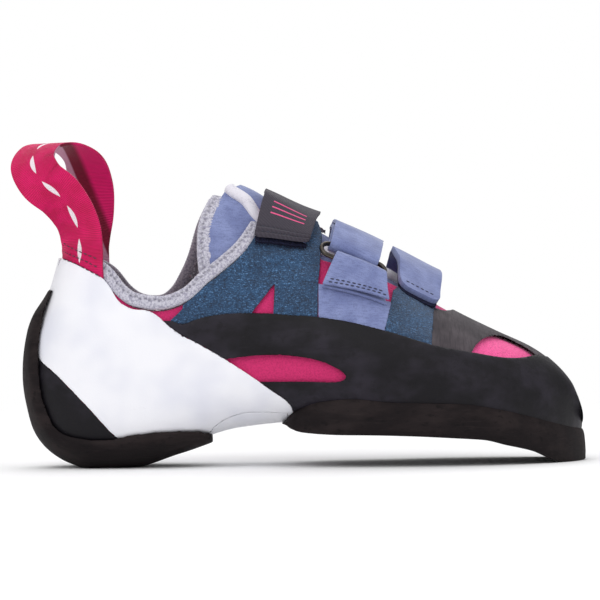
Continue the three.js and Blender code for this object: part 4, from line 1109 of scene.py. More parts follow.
farTop = sidePoints(lines["cupTop"])[0][1]
heelBlackRegion = [*run("heelBlack"), corner(0.33, below), (farLeft, below),
                   (farLeft, run("heelBlack")[0][1])]
heelSoleRegion = [*run("heelSoleEdge"), corner(0.338, below), (farLeft, below),
                  (farLeft, run("heelSoleEdge")[0][1])]
cupRegion = [*run("cupTop"), *run("cupFront")[1:], (run("cupFront")[-1][0], below), (farLeft, below),
             (farLeft, farTop)]
archRegion = [*run("archLine"), (run("cupFront")[-1][0], below), (run("archLine")[0][0], below)]
randRegion = [*run("randTop"), (run("randTop")[-1][0], 100), (farRight, 100), (farRight, below),
              corner(0.2, below),
              (0.2 * shoe["length"], run("randTop")[0][1])]
patchRegion = [*run("patchRear"), corner(0.774, above), (farRight, above), (farRight, below),
               corner(0.718, below)]
pileRegion = [*run("collarEdge")[int(len(run("collarEdge")) * 0.2):], *run("wingTop")[:-4], *run("pileFront"),
              *sidePoints(lines["pileNotch"])[::-1], corner(0.26, sidePoints(lines["randTop"])[0][1] - 2)]

outerHalf, innerHalf = halfBlock(-1), halfBlock(1)
# a thinner piece tucks under its neighbour by the lap, and flush pieces meet at a seam
gap, lap, seam = shoe["gap"], -0.3, 0.02
randOut, cupOut = sideBlock(grown(randRegion, lap)), sideBlock(grown(cupRegion, lap))
crestRows = sectionAt(np.linspace(0, 1, 60))
# the toe windows are cut on each side of the crest, and the patch stays whole for the bridge's width each way
toeCut = {"at": 0.86, "bridge": 2.5, "step": 1.2}
crestY = np.interp(toeCut["at"] * shoe["length"], crestRows["x"], crestRows["centre"] + crestRows["crest"])
toeRim = run("toeWindow", toeCut["step"])
windows = [sideBlock(run("windowRim", toeCut["step"])),
           sideBlock(toeRim, -wide, float(crestY) - toeCut["bridge"]),
           sideBlock(toeRim, float(crestY) + toeCut["bridge"], wide)]


# Upper: the pink sock with its lining, open at the collar and the throat
def openBlock(edge, throat, half):
    back = run("collarBack")
    shape = [(farLeft, back[0][1]), *back, *run(edge)[1:], *throat, (throat[-1][0], above), (farLeft, above)]
    return tool("opening", sideBlock(shape), ("INTERSECT", half))


def makeUpper():
    outer = openBlock("collarEdge", [*run("wingTop"), *run("throatEdge")], outerHalf)
    inner = openBlock("innerCollarEdge", run("innerThroatEdge"), innerHalf)
    piece = plate("upper_sock", "upper", [], [tool("openings", outer, ("UNION", inner))])
    softenRims(piece)
    paintInside(piece, 0, 1)
    return settle(piece, ["upper"], [pink, lining])


# Faces that look inwards, to a line a little over the middle of the sections, get their own material
def paintInside(piece, facing, away, lift=6):
    for poly in piece.data.polygons:
        cut = sectionAt(float(turnOf((poly.center.x - heelSoleFace) / lastLength)))
        inwards = Vector((0, float(cut["centre"]) - poly.center.y, float(cut["mid"]) + lift - poly.center.z))
        poly.material_index = away if poly.normal.dot(inwards) > 0 else facing


def makeInsole():
    region = [*run("insoleEdge"), (farRight, below), (farLeft, below)]
    piece = softenRims(plate("insole_board", "insole", [sideBlock(region)]))
    return settle(piece, ["insole"], [insoleCloth])


print("upper", len(makeUpper().data.polygons))
makeInsole()

# Rubber: band, toe patch, white cup and arch, heel
# Reach and drop of the thinned edges: the pad's top and rim, the band's top; and the least that is left
rubberForm = {"padReach": 18, "padDrop": 2.75, "rimReach": 3.4, "rimDrop": 2.3, "bandReach": 14,
              "bandDrop": 1.6,
              "thinnest": 0.12}


def makeRubber():
    form = rubberForm
    band = plate("rand_band", "rand", [sideBlock(randRegion)],
                 [sideBlock(grown(cupRegion, seam)), windows[0]])
    settle(softenRims(band), ["rand"], [rand])
    toe = plate("toe_patch_skin", "toePatch", [sideBlock(patchRegion)], [randOut, *windows[1:]])
    settle(softenRims(toe), ["toe_patch"], [patch])
    heelOut, archOut = sideBlock(grown(heelBlackRegion, seam)), sideBlock(grown(archRegion, seam))
    cup = plate("heel_cup_skin", "rand", [sideBlock(cupRegion)], [heelOut, archOut])
    settle(softenRims(cup), ["heel_cup"], [white])
    arch = plate("arch_skin", "rand", [sideBlock(archRegion)], [heelOut])
    settle(softenRims(arch), ["arch_wrap"], [white])
    heel = plate("heel_band", "rand", [sideBlock(heelBlackRegion)])
    softenRims(heel)
    top = run("heelBlack")[0]
    feather(heel, [(farLeft, top[1]), top], form["bandReach"], form["bandDrop"], randFace,
            gap + form["thinnest"])
    softenRims(heel, 2)
    settle(heel, ["heel_rand"], [rand])
    floor = sideBlock([(farLeft, 0), (farRight, 0), (farRight, below), (farLeft, below)])
    under = plate("heel_sole_pad", "heelSole", [sideBlock(heelSoleRegion)], [floor])
    softenRims(under)
    rim, least = run("heelSoleEdge"), heelSoleBack + form["thinnest"]
    feather(under, [(farLeft, rim[0][1]), rim[0]], form["padReach"], form["padDrop"], heelSoleFace, least)
    feather(under, rim, form["rimReach"], form["rimDrop"], heelSoleFace, least)
    softenRims(under, 3)
    settle(under, ["heel_sole"], [sole])


makeRubber()
print("rubber done")


# Front sole. cuts: axis, from, to and pitch of the bottom's grid; wall, from the flat bottom up: share of the
# wall's height, lift and inset in millimetres; hidden rows go in under the band
soleForm = {"turns": (0.47, 0.985, 0.008), "halvings": 22, "setIn": 0.9, "merge": 0.12, "liftOver": 4,
            "cuts": [(0, 110, 240, 2.5), (1, -50, 50, 4)],
            "wall": [(0, 0.1, 0.45), (0, 0.55, 0), (0.3, 0, -0.1), (0.55, 0, 0.05), (0.78, 0, 0.3),
                     (0.92, 0, 0.65), (1, 0, 1.15)],
            "hidden": [(1, 3, 5), (1, 5, 9)]}


def sideColumn(name):
    rows = np.array(sidePoints(lines[name]))
    return smoothColumn(rows[:, 0], rows[:, 1])


# The plan of one side, where the sole's top edge meets the band
def soleEdge(side):
    top = sideColumn("soleTop")

    def faceAt(u, angle):
        return skin(np.array([u]), angle, toeStack)[0]

    def overTop(u, angle):
        spot = faceAt(u, angle)
        return spot[2] - top(spot[0])

    points = []
    for u in np.arange(*soleForm["turns"]):
        low = np.array([-math.pi / 2])
        high = np.array([math.pi / 6 if side > 0 else -math.pi * 7 / 6])
        if overTop(u, low) > 0:
            break
        for _ in range(soleForm["halvings"]):
            half = (low + high) / 2
            if overTop(u, half) > 0:
                high = half
            else:
                low = half
        spot = faceAt(u, low)
        points.append((float(spot[0]), float(spot[1])))
    return points


# A near-upright wall, pulled up from a flat bottom that follows the line under the sole
def makeOutsole():
    form = soleForm
    top, under = sideColumn("soleTop"), sideColumn("soleUnder")
    bm = bmesh.new()
    plan = grown([*soleEdge(-1), *soleEdge(1)[::-1]], -form["setIn"])
    bm.faces.new([bm.verts.new((x, y, 0)) for x, y in plan])
    for axis, low, high, pitch in form["cuts"]:
        for spot in np.arange(low, high, pitch):
            bmesh.ops.bisect_plane(bm, geom=bm.verts[:] + bm.edges[:] + bm.faces[:], dist=1e-4,
                                   plane_co=(spot, 0, 0) if axis == 0 else (0, spot, 0),
                                   plane_no=(1, 0, 0) if axis == 0 else (0, 1, 0))
    bmesh.ops.remove_doubles(bm, verts=bm.verts[:], dist=form["merge"])
    bmesh.ops.recalc_face_normals(bm, faces=bm.faces[:])
    if bm.faces[0].normal.z > 0:
        bmesh.ops.reverse_faces(bm, faces=bm.faces[:])
    rim = [edge for edge in bm.edges if edge.is_boundary]
    outward = {}
    for vert in {vert for edge in rim for vert in edge.verts}:
        ways = []
        for edge in vert.link_edges:
            if edge.is_boundary:
                face = edge.link_faces[0]
                along = edge.other_vert(vert).co - vert.co
                way = Vector((along.y, -along.x, 0)).normalized()
                ways.append(way if way.dot(vert.co - face.calc_center_median()) > 0 else -way)
        outward[tuple(vert.co[:2])] = (vert.co.copy(), sum(ways, Vector()).normalized())
    for vert in bm.verts:
        vert.co.z = float(under(vert.co.x))
    spots = {vert: outward[tuple(vert.co[:2])] for edge in rim for vert in edge.verts}
    for share, lift, inset in [*form["wall"], *form["hidden"]]:
        geom = bmesh.ops.extrude_edge_only(bm, edges=rim)["geom"]
        rim = [part for part in geom if isinstance(part, bmesh.types.BMEdge)]
        fresh = {}
        for vert in {vert for edge in rim for vert in edge.verts}:
            old = next(edge.other_vert(vert) for edge in vert.link_edges if edge.other_vert(vert) in spots)
            base, way = fresh[vert] = spots[old]
            foot, head = float(under(base.x)), float(top(base.x))
            vert.co = base + way * (form["setIn"] - inset)
            vert.co.z = foot + (head - foot) * share + lift * min(1, (head - foot) / form["liftOver"])
        spots = fresh
    bmesh.ops.holes_fill(bm, edges=rim, sides=0)
    bmesh.ops.triangulate(bm, faces=[face for face in bm.faces if len(face.verts) > 8])
    bmesh.ops.recalc_face_normals(bm, faces=bm.faces[:])
    blank = newObject("sole_blank", bm)
    tools.append(blank)
    piece = carve("front_sole", blank, ("DIFFERENCE", lastForm(randFace + gap / 2)))
    softenRims(piece, 0, 0.05)
    return settle(piece, ["outsole"], [sole])


makeOutsole()
print("sole done")


# Panels of the two sides
def panel(name, node, layer, outline, half, outside, finish):
    piece = plate(name, layer, [sideBlock(outline), half], [randOut, cupOut, *outside])
    return settle(softenRims(piece), [node], [finish])


slateRegion = sidePoints(lines["slateRim"])
pileOut = sideBlock(grown(pileRegion, lap))
# bare upper shows behind the pile's rear end, and the top strap lies straight on the tongue in front of it
pileRear = sideBlock([(40, 50), (61.9, 58.5), (63.4, 61.2), (69.3, 66.7), (69.3, 80), (40, 80)])
underTab = sideBlock([(95, 106), (112, 106), (117, 110), (117, 130), (95, 130)])
panel("pile_top", "pile_panel_top", "pile", pileRegion, outerHalf, [pileRear, underTab], pile)
panel("slate_side", "slate_panel", "slate", slateRegion, outerHalf, [pileOut], slate)
panel("pile_low", "pile_panel_low", "pile", sidePoints(lines["lowPileRim"]), outerHalf,
      [sideBlock(grown(slateRegion, lap)), sideBlock(grown(patchRegion, lap))], pile)
innerSlate = sidePoints(lines["innerSlateRim"])
panel("slate_inside", "slate_panel_inner", "slate", innerSlate, innerHalf, [], slate)
panel("pile_inside", "pile_panel_inner", "pile", sidePoints(lines["innerPileRim"]), innerHalf,
      [sideBlock(grown(innerSlate, lap))], pile)
print("panels done")


# Places along a line of the side view
def placesAlong(rows, side, lift=0):
    rows = [(at, up + lift / shoe["instepHeight"]) for at, up in rows]
    points = np.array(sidePoints(rows))
    return placeAt(points[:, 0], points[:, 1], side)


# The band lies tucked in by some at the back, fading out between two places along the shoe
collarForm = {"tall": 5.7, "thick": 4.3, "height": 0.35, "lift": 3.5, "tucked": 1.1, "tuckFades": (36, 50),
              "loop": 1.35, "loopDepth": 0.2, "loopTurns": (3, 8), "loopLean": 0.35,
              "pitPitch": 2.1, "pitHalf": 0.62, "pitDepth": 0.55, "pitAcross": -0.4, "zigzag": 0.09}


def tubeAlong(u, angle, height, tall, thick):
    centre, outward = Route(skin(u, angle, height)), Route(lastNormal(u, angle))
    sizes = Route(np.stack([tall + 0 * u, thick + 0 * u], 1))
    return laidTube(centre, outward, sizes)


# Knit loops in relief, and the pits that a row of stitching pulls into the band
def knitRelief(bm, tube, form):
    turn, lengths = tube["turn"], tube["lengths"]
    slow, quick = form["loopTurns"]
    wave = np.sin(2 * math.pi * lengths / form["loop"] + 2 * np.sin(turn * slow))
    lift = form["loopDepth"] * wave * np.sin(turn * quick + lengths * form["loopLean"])
    across = tube["flat"][:, 1] / (form["tall"] / 2)
    phase = (lengths / form["pitPitch"]) % 1 * form["pitPitch"] - form["pitPitch"] / 2
    line = form["pitAcross"] + form["zigzag"] * np.where((lengths / form["pitPitch"]) % 2 < 1, 1, -1)
    away = np.hypot(phase, (across - line) * form["tall"] / 2)
    facing = tube["flat"][:, 0] > 0
    pit = np.exp(-(away / form["pitHalf"]) ** 2) * facing
    lift = lift - form["pitDepth"] * pit
    coords = coordsOf(bm)
    flat = tube["flat"] / np.maximum(np.linalg.norm(tube["flat"], axis=1, keepdims=True), 1e-6)
    coords += (tube["out"] * flat[:, :1] + tube["side"] * flat[:, 1:2]) * lift[:, None]
    place(bm, coords)
    layer = bm.verts.layers.float.new("pit")
    for vert, amount in zip(bm.verts, pit):
        vert[layer] = float(amount)


def makeCollar():
    form = collarForm
    back, outer, inner = lines["collarBack"], lines["collarEdge"], lines["innerCollarEdge"]
    outerU, outerAngle = placesAlong([*back[1:], *outer[1:]], -1, form["lift"])
    innerU, innerAngle = placesAlong([*back[1:], *inner[1:]], 1, form["lift"])
    backU, _ = placesAlong(back[:1], 1, form["lift"])
    u = np.concatenate([outerU[::-1], backU, innerU])
    angle = np.concatenate([outerAngle[::-1], [math.pi / 2], innerAngle])
    behind = 1 - smoothStep(skin(u, angle, 0)[:, 0], *form["tuckFades"])
    bm, tube = tubeAlong(u, angle, form["height"] - form["tucked"] * behind, form["tall"], form["thick"])
    knitRelief(bm, tube, form)
    shade(bm, 80)
    # faces turned in towards the foot take the darker copy of the terry as painted shade
    inside = dict(zip(bm.verts, tube["flat"][:, 0] < -0.2))
    for face in bm.faces:
        face.material_index = 1 if all(inside[vert] for vert in face.verts) else 0
    piece = newObject("collar_band", bm)
    return settle(piece, ["collar_binding"], [terry, terryInPaintedShade])


makeCollar()
print("collar done")

# Tongue: two halves, the soft roll on the free edge and the binding at the back
tongueForm = {"rollTall": 5.4, "rollThick": 4.8, "rollProud": 0.9, "rollTop": (0.368, 1.2),
              "rearTop": (93.5, 119.3),
              "wingThick": 2.6, "wingRise": (0.41, 0.44), "wingFall": (0.515, 0.54),
              "bindTall": 7, "bindThick": 3.4, "bindProud": 0.9, "bindBack": 0.004, "pitAcross": 0.45}


def makeTongue():
    form = tongueForm
    rear = [(0, above), (0, below), (run("tongueRear")[0][0], below), *run("tongueRear"), form["rearTop"],
            (form["rearTop"][0], above)]
    rearOut = sideBlock(rear)
    end = run("rollLine")[-1]
    aboveRoll = [*run("rollLine"), (end[0], above), (0, above), (0, run("rollLine")[0][1])]
    foot, innerFoot = run("tongueFoot"), run("innerTongueFoot")
    outerBlock = tool("outer", sideBlock([*foot, end, (end[0], above), (foot[0][0], above)]),
                      ("INTERSECT", outerHalf))
    piece = plate("tongue_outer_half", "tongue", [outerBlock], [sideBlock(grown(aboveRoll, gap)), rearOut])
    settle(softenRims(piece), ["tongue_outer"], [tongueCloth])
    first = tool("first", sideBlock(aboveRoll), ("INTERSECT", outerHalf))
    second = tool("second", sideBlock([*innerFoot, (innerFoot[-1][0], above), (innerFoot[0][0], above)]),
                  ("INTERSECT", innerHalf))
    both = tool("both", first, ("UNION", second))
    piece = plate("tongue_inner_half", "tongue", [both], [rearOut])
    settle(softenRims(piece), ["tongue_inner"], [tongueCloth])

    rows = [form["rollTop"], *lines["rollLine"]]
    u, angle = placesAlong(rows, -1)
    at = np.array([row[0] for row in rows])
    wing = smoothStep(at, *form["wingRise"]) * (1 - smoothStep(at, *form["wingFall"]))
    thick = form["rollThick"] + (form["wingThick"] - form["rollThick"]) * wing
    height = layers["tongue"][0] + thick / 2 + form["rollProud"] * (1 - wing)
    centre, outward = Route(skin(u, angle, height)), Route(lastNormal(u, angle))
    bm, tube = laidTube(centre, outward, Route(np.stack([form["rollTall"] + 0 * thick, thick], 1)),
                        fullness=2)
    shade(bm, 80)
    piece = settle(newObject("tongue_roll_pad", bm), ["tongue_roll"], [roll])

    rows = [(at - form["bindBack"], up) for at, up in lines["tongueRear"]]
    u, angle = placesAlong(rows, -1)
    height = layers["tongue"][0] + form["bindProud"]
    band = {**collarForm, "tall": form["bindTall"], "pitAcross": form["pitAcross"]}
    bm, tube = tubeAlong(u, angle, height, form["bindTall"], form["bindThick"])
    knitRelief(bm, tube, band)
    shade(bm, 80)
    settle(newObject("tongue_rear_band", bm), ["tongue_rear_binding"], [terry])


makeTongue()
print("tongue done")

# Straps, as in the frame: routes are (distance round from the crest, height above the upper)
ballWidth, clearance = shoe["ballWidth"], 7
web, webPitch, rise = 1.5, 2.1, 2.5
ringForm = {"wire": 2, "reach": 7.8, "play": 0.8, "lift": 2.2, "at": 0.577, "span": 19, "sides": 14,
            "steps": 48}
pileFace, slateFace, patchFace = layers["pile"][1], layers["slate"][1], layers["toePatch"][1]
barGirth = -0.36 * ballWidth
tabGirth = barGirth - ringForm["reach"]
webOnSlate = slateFace + gap + web / 2
barHeight = webOnSlate + web / 2 + ringForm["play"] + ringForm["wire"] / 2 + ringForm["lift"]
turnRadius = ringForm["wire"] / 2 + ringForm["play"] + web / 2


# The turn of a strap round a bar: out along the near side, round and back; way is 1 or -1 round the shoe
def hairpin(girth, way):
    reach = [(-2, -1), (0, -1), (0.7, -0.7), (1, 0), (0.7, 0.7), (0, 1), (-2, 1)]
    return [(girth + way * a * turnRadius, barHeight + b * turnRadius) for a, b in reach]


def middleForm():
    arch = barHeight - turnRadius + rise
    back = pileFace + gap + web / 2
    under = [(0.4, back), (0.3, back + 0.3 * rise), (0.16, arch - 0.1 * rise), (0, arch),
             (-0.14, arch - 0.1 * rise)]
    over = [(-0.14, arch + webPitch), (0, arch + webPitch), (0.16, arch + webPitch),
            (0.3, back + 0.3 * rise + 1.4 * webPitch), (0.4, back + 1.1 * webPitch),
            (0.46, back + 0.6 * gap), (0.53, back)]
    rows = [(share * ballWidth, height) for share, height in under] + hairpin(barGirth, -1)
    rows += [(share * ballWidth, height) for share, height in over]
    return {"at": 0.585, "width": 19, "thick": web, "slant": 0.06, "lean": -0.1, "sink": 3.8, "dip": 1.5,
            "route": rows,
            "corner": 4, "ends": (False, True)}


def ringTabForm():
    foot = -0.6 * ballWidth
    turnRows = hairpin(tabGirth, 1)
    rows = [(foot, webOnSlate), (turnRows[0][0], webOnSlate), *turnRows[1:6]]
    rows += [(turnRows[6][0], webOnSlate + webPitch + turnRadius), (foot, webOnSlate + webPitch)]
    return {"at": 0.588, "width": 27.5, "thick": web, "flare": -0.55, "skew": 4.5, "endSkew": 4.5,
            "route": rows}


def lowForm():
    thick = 2.4
    outer, inner = pileFace + gap + thick / 2, patchFace + gap + thick / 2
    rows = [(-0.34, outer), (-0.26, outer + 0.25 * clearance), (-0.14, outer + 0.8 * clearance),
            (0, outer + clearance),
            (0.15, inner + 0.8 * clearance), (0.3, inner + 0.3 * clearance), (0.42, inner)]
    return {"at": 0.674, "width": 17, "thick": thick, "slant": -0.18, "sink": 2.4, "dip": -2, "skew": 5,
            "corner": 4, "edge": 0.5,
            "route": [(share * ballWidth, height) for share, height in rows]}


def topRoute(lift):
    outer, inner = pileFace + gap + web / 2 + lift, slateFace + gap + web / 2 + lift
    rows = [(-0.38, outer), (-0.2, outer + gap), (-0.05, outer + 0.4 * rise), (0.12, inner + 0.4 * rise),
            (0.3, inner),
            (0.5, inner)]
    return [(share * ballWidth, height) for share, height in rows]


topForm = {"at": 0.478, "width": 19, "thick": web, "slant": 0.12, "sink": 4.4, "route": topRoute(0),
           "corner": 2}
tabThick = 1.4
tabRows = topRoute((web + tabThick) / 2 + gap)[:3]
tabForm = {"at": 0.478, "width": 21, "thick": tabThick, "slant": 0.12, "corner": 2.2, "pitch": 0.6,
           "sink": 4.4, "skew": 11,
           "route": [(-0.5 * ballWidth, tabRows[0][1] + 0.4), *tabRows], "ends": (True, False),
           "ridges": [{"at": 1.3, "half": 0.8, "depth": 0.75}, {"at": 4.1, "half": 0.9, "depth": 0.7},
                      {"at": 6, "half": 0.6, "depth": -0.35}]}
hookUnder = {"drop": 1.7, "beyond": 1.6, "thick": 1.1, "hair": 2.6, "hairAcross": 0.48,
             "hairAlong": (0.2, 1.4)}


# The hook tape under a strap's outer end, a little longer than the strap
def hookForm(form, count, width):
    rows = [(girth, height - hookUnder["drop"]) for girth, height in form["route"][:count]]
    rows = [(rows[0][0] - hookUnder["beyond"], rows[0][1]), *rows]
    return {**form, "thick": hookUnder["thick"], "width": width, "route": rows, "ridges": []}


lowHook, tabHook = hookForm(lowForm(), 3, 16), hookForm(tabForm, 2, 20)
strapSewn = {"length": 1.5, "gap": 0.8, "radius": 0.3}


def makeStraps():
    middle, holder, low = middleForm(), ringTabForm(), lowForm()
    settle(strap("middle_strap", middle), ["strap_middle"], [slateStrap])
    settle(strap("ring_holder", holder), ["ring_tab"], [slateStrap])
    settle(strap("low_strap", low), ["strap_low"], [slateStrap])
    settle(strap("top_strap", topForm), ["strap_top"], [slateStrap])
    settle(strap("top_tab", tabForm), ["strap_top_tab"], [tab])
    settle(strap("low_strap_hook", lowHook), [], [hook])
    settle(strap("top_tab_hook", tabHook), [], [hook])

    # rows of a strap's form, the distance along it (from its end if minus), and half widths or ends across it
    rows = [("strap_stitches", darkThread, [(holder, -1.1, 12.4, 12.4), (holder, -2.6, 12.2, 12.2),
                                            (low, 2.8, -7, 7)]),
            ("tab_stitches", blackThread, [(tabForm, 6, -9.3, 9.3), (tabForm, 2.8, -9, 9)])]
    for name, thread, places in rows:
        bm = bmesh.new()
        for form, along, first, last in places:
            if along < 0:
                _, length = Route([(girth, height, 0) for girth, height in form["route"]]).measured()
                along, first = length + along, -first
            strapStitches(bm, form, (first, along), (last, along), **strapSewn)
        shade(bm)
        settle(newObject(name, bm), [], [thread])


# Loose dark hairs where the hooks hold the pile
def makeHairs():
    bm = bmesh.new()
    half = hookUnder["hairAcross"]
    for form, count in ((lowHook, 90), (tabHook, 110)):
        across = np.array([random.uniform(-half, half) * form["width"] for _ in range(count)])
        edge, inner = (strapPlaces(form, across, along) for along in hookUnder["hairAlong"])
        hairs(bm, edge, edge - inner, hookUnder["hair"])
    shade(bm)
    settle(newObject("hook_hairs", bm), [], [hook])


makeStraps()
makeHairs()
print("straps done")


# Ring: round wire bent to a stadium, its long bars along the shoe
def makeRing():
    form = ringForm
    radius, stretch = form["reach"] / 2, form["span"] / 2 + form["play"]
    bm = bmesh.new()
    made = bmesh.ops.create_circle(bm, cap_ends=False, segments=form["sides"],
                                   radius=form["wire"] / 2)["verts"]
    bmesh.ops.rotate(bm, verts=made, cent=(0, 0, 0), matrix=Matrix.Rotation(math.pi / 2, 3, "X"))
    bmesh.ops.translate(bm, verts=made, vec=(radius, 0, 0))
    bmesh.ops.rotate(bm, verts=made, cent=(0, 0, 0), matrix=Matrix.Rotation(math.pi / form["steps"], 3, "Z"))
    bmesh.ops.spin(bm, geom=bm.verts[:] + bm.edges[:], cent=(0, 0, 0), axis=(0, 0, 1), angle=2 * math.pi,
                   steps=form["steps"], use_merge=True)
    bmesh.ops.remove_doubles(bm, verts=bm.verts[:], dist=0.01)
    bmesh.ops.recalc_face_normals(bm, faces=bm.faces[:])
    for vert in bm.verts:
        vert.co.x += math.copysign(stretch, vert.co.x)
    middle = form["at"] * shoe["length"]
    ends = wrap([middle - stretch, middle + stretch] * 2, [barGirth] * 2 + [tabGirth] * 2, [barHeight] * 4)
    centre = ends.mean(0)
    along = Vector(ends[1] + ends[3] - ends[0] - ends[2]).normalized()
    out = along.cross(Vector(ends[0] + ends[1] - ends[2] - ends[3])).normalized()
    turn = Matrix((along, out.cross(along), out)).transposed().to_4x4()
    bmesh.ops.transform(bm, matrix=Matrix.Translation(Vector(centre)) @ turn, verts=bm.verts[:])
    shade(bm, 80)
    return settle(newObject("strap_ring", bm), ["ring"], [wire])


makeRing()

# Pull loop. Its rows: along as a share of the ribbon's width, across as one of half the span, up as one of
# its height, degrees that its width is turned in plan, and the share of the sag across its width.
# Its feet hug the heel below a height, and let go between two others; sewn rows lie that far from its ends
loopForm = {
    "width": 20, "thick": 1.3, "height": 42, "span": 44, "sag": 1.6, "foot": 0.11,
    "hugged": 1.6, "over": 1.8, "overFades": 3, "hugsPast": 4, "hugsBelow": 98, "hugFades": (87, 97),
    "sewn": (8.5, 11.5, 14.5), "sewnHalf": 0.46, "sewnSlant": 0.48, "sewnProud": 0.1,
    "stitch": {"length": 1.7, "gap": 0.7, "radius": 0.26},
    "rows": [(0, -1, -0.46, -28, 1), (0, -1, -0.26, -28, 1), (0, -0.93, -0.06, -28, 1),
             (-0.02, -0.94, 0.1, -26, 0.6), (-0.14, -0.98, 0.26, -20, 0.3), (-0.4, -0.98, 0.44, -14, 0),
             (-0.8, -0.86, 0.6, -18, 0), (-1, -0.6, 0.79, -28, 0), (-0.84, -0.2, 0.95, -36, 0),
             (-0.4, 0.3, 0.97, -36, 0), (-0.02, 0.7, 0.84, -30, 0), (0.1, 0.92, 0.6, -12, 0),
             (0.1, 0.98, 0.3, 12, 0.3), (0.03, 0.95, 0.08, 24, 0.8), (0, 0.93, -0.06, 28, 1),
             (0, 1, -0.26, 28, 1), (0, 1, -0.46, 28, 1)],
}


# How far the ribbon lies from the face of the upper: over the collar's band, and down to the white cup's edge
def ribbonHeight(x, z):
    over = z - sideColumn("cupTop")(x)
    return loopForm["hugged"] + loopForm["over"] * smoothStep(over, 0, loopForm["overFades"])


# Places of the flat ribbon's points (across, along) on the loop, their way out, and the ribbon's length
def ribbonPlaces(flat):
    form = loopForm
    rows = np.array(form["rows"], float)
    foot = form["foot"] * shoe["length"]
    centres = np.stack([foot + rows[:, 0] * form["width"], rows[:, 1] * form["span"] / 2,
                        shoe["heelHeight"] + rows[:, 2] * form["height"]], 1)
    route, twist = Route(centres), Route(np.stack([np.radians(rows[:, 3]), rows[:, 4]], 1))
    shareAt, length = route.measured()
    t = shareAt(flat[:, 1])
    turn, sag = twist.point(t).T
    tangent = route.tangent(t)
    wide = np.stack([np.cos(turn), np.sin(turn), 0 * turn], 1)
    wide -= tangent * (wide * tangent).sum(1, keepdims=True)
    wide /= np.linalg.norm(wide, axis=1, keepdims=True)
    out = np.cross(wide, tangent)
    across = flat[:, 0] / form["width"]
    depth = -sag * form["sag"] * 4 * across ** 2
    spots = route.point(t) + wide * flat[:, :1] + out * depth[:, None]
    for side in (-1, 1):
        low = (spots[:, 1] * side > form["hugsPast"]) & (spots[:, 2] < form["hugsBelow"])
        x, z = spots[low, 0], spots[low, 2]
        u, angle = placeAt(x, z, side)
        hug = 1 - smoothStep(z, *form["hugFades"])
        spots[low, 1] += (skin(u, angle, ribbonHeight(x, z))[:, 1] - spots[low, 1]) * hug
    return spots, out, length


def makePullLoop():
    form = loopForm
    _, _, length = ribbonPlaces(np.zeros((1, 2)))
    bm = strapBlank(form["width"], length, 0, 0.9)
    place(bm, ribbonPlaces(coordsOf(bm))[0])
    bm.normal_update()
    blank = thicken("ribbon_blank", bm, form["thick"], 0.25)
    tools.append(blank)
    piece = carve("pull_ribbon", blank, ("DIFFERENCE", sideBlock(grown(cupRegion, seam))))
    middle = Vector((form["foot"] * shoe["length"], 0, shoe["heelHeight"] + form["height"] / 2))
    for poly in piece.data.polygons:
        spot = poly.center
        inwards = Vector((middle.x - spot.x, -spot.y, middle.z - spot.z))
        poly.material_index = 1 if poly.normal.dot(inwards) > 0 else 0
    settle(piece, ["pull_loop"], [ribbon, ribbonBack])

    across = np.linspace(-form["sewnHalf"], form["sewnHalf"], 40) * form["width"]
    bm = bmesh.new()
    for start in form["sewn"]:
        along = start - form["sewnSlant"] * across
        for way in (along, length - along):
            spots, out, _ = ribbonPlaces(np.stack([across, way], 1))
            stitches(bm, spots + out * (form["thick"] / 2 + form["sewnProud"]), out, **form["stitch"])
    shade(bm)
    settle(newObject("ribbon_stitches", bm), [], [crimsonThread])


makePullLoop()
print("pull loop done")

for spare in tools:
    mesh = spare.data
    bpy.data.objects.remove(spare)
    bpy.data.meshes.remove(mesh)

# Floor, light and camera
stageForm = {
    "floor": 3, "fadeFrom": 240, "fadeTo": 900, "floorColour": tone(250, 250, 251), "world": 0.55,
    "seen": 1.0,
    "aim": (0, 0, 0.05),
    "lights": [
        {"at": (-0.6, -1.1, 1.2), "size": 1.2, "power": 11},
        {"at": (0.9, -0.9, 0.7), "size": 1.0, "power": 3},
        {"at": (0.1, 1.1, 1.2), "size": 1.2, "power": 7}, {"at": (0, 0, 1.6), "size": 1.6, "power": 6},
    ],
}


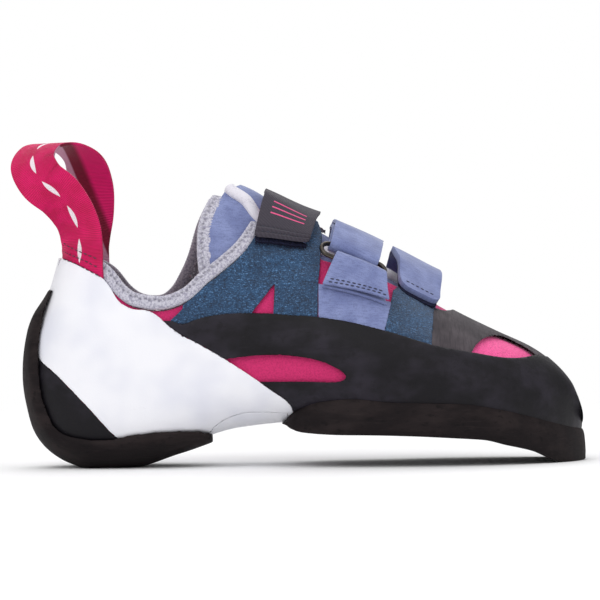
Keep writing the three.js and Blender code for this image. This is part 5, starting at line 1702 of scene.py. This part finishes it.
def makeStage():
    bm = bmesh.new()
    bmesh.ops.create_grid(bm, x_segments=1, y_segments=1, size=stageForm["floor"])
    floor = newObject("floor", bm)
    paper = Finish("paper", {"Roughness": 0.9, "Base Color": stageForm["floorColour"]})
    spot = paper.mapped()
    x, y = paper.axis(spot, 0), paper.axis(spot, 1)
    paper.give("Alpha", paper.ramp(x * x + y * y, stageForm["fadeTo"] ** 2, stageForm["fadeFrom"] ** 2))
    floor.data.materials.append(paper.material)
    world = bpy.data.worlds.new("studio")
    bpy.context.scene.world = world
    world.use_nodes = True
    nodes, links = world.node_tree.nodes, world.node_tree.links
    nodes["Background"].inputs["Color"].default_value = (1, 1, 1, 1)
    path, strength = nodes.new("ShaderNodeLightPath"), nodes.new("ShaderNodeMapRange")
    strength.inputs["To Min"].default_value = stageForm["world"]
    strength.inputs["To Max"].default_value = stageForm["seen"]
    links.new(path.outputs["Is Camera Ray"], strength.inputs["Value"])
    links.new(strength.outputs["Result"], nodes["Background"].inputs["Strength"])
    for i, light in enumerate(stageForm["lights"]):
        lamp = bpy.data.lights.new(f"softbox_{i}", "AREA")
        lamp.size, lamp.energy = light["size"], light["power"]
        holder = bpy.data.objects.new(lamp.name, lamp)
        holder.location = light["at"]
        aim = Vector(stageForm["aim"]) - Vector(light["at"])
        holder.rotation_euler = aim.to_track_quat("-Z", "Y").to_euler()
        bpy.context.scene.collection.objects.link(holder)


# The photograph: a long lens, level with the shoe's middle, rolled a little
cameraForm = {"span": 255, "lens": 200, "sensor": 36, "aim": (118.2, 0, 69.7), "rise": 0, "roll": 0.744}


def makeCamera():
    form = cameraForm
    data = bpy.data.cameras.new("camera")
    data.lens, data.sensor_width = form["lens"], form["sensor"]
    data.clip_start, data.clip_end = 0.05, 20
    camera = bpy.data.objects.new("camera", data)
    aim = toScene @ Vector(form["aim"])
    distance = form["span"] / 1000 * form["lens"] / form["sensor"]
    rise = math.radians(form["rise"])
    back = Vector((0, -math.cos(rise), math.sin(rise)))
    turn = back.to_track_quat("Z", "Y").to_matrix() @ Matrix.Rotation(-math.radians(form["roll"]), 3, "Z")
    camera.matrix_world = Matrix.Translation(aim + back * distance) @ turn.to_4x4()
    bpy.context.scene.collection.objects.link(camera)
    bpy.context.scene.camera = camera


makeStage()
makeCamera()
bpy.context.scene.view_settings.view_transform = "Standard"
print("scene ready")
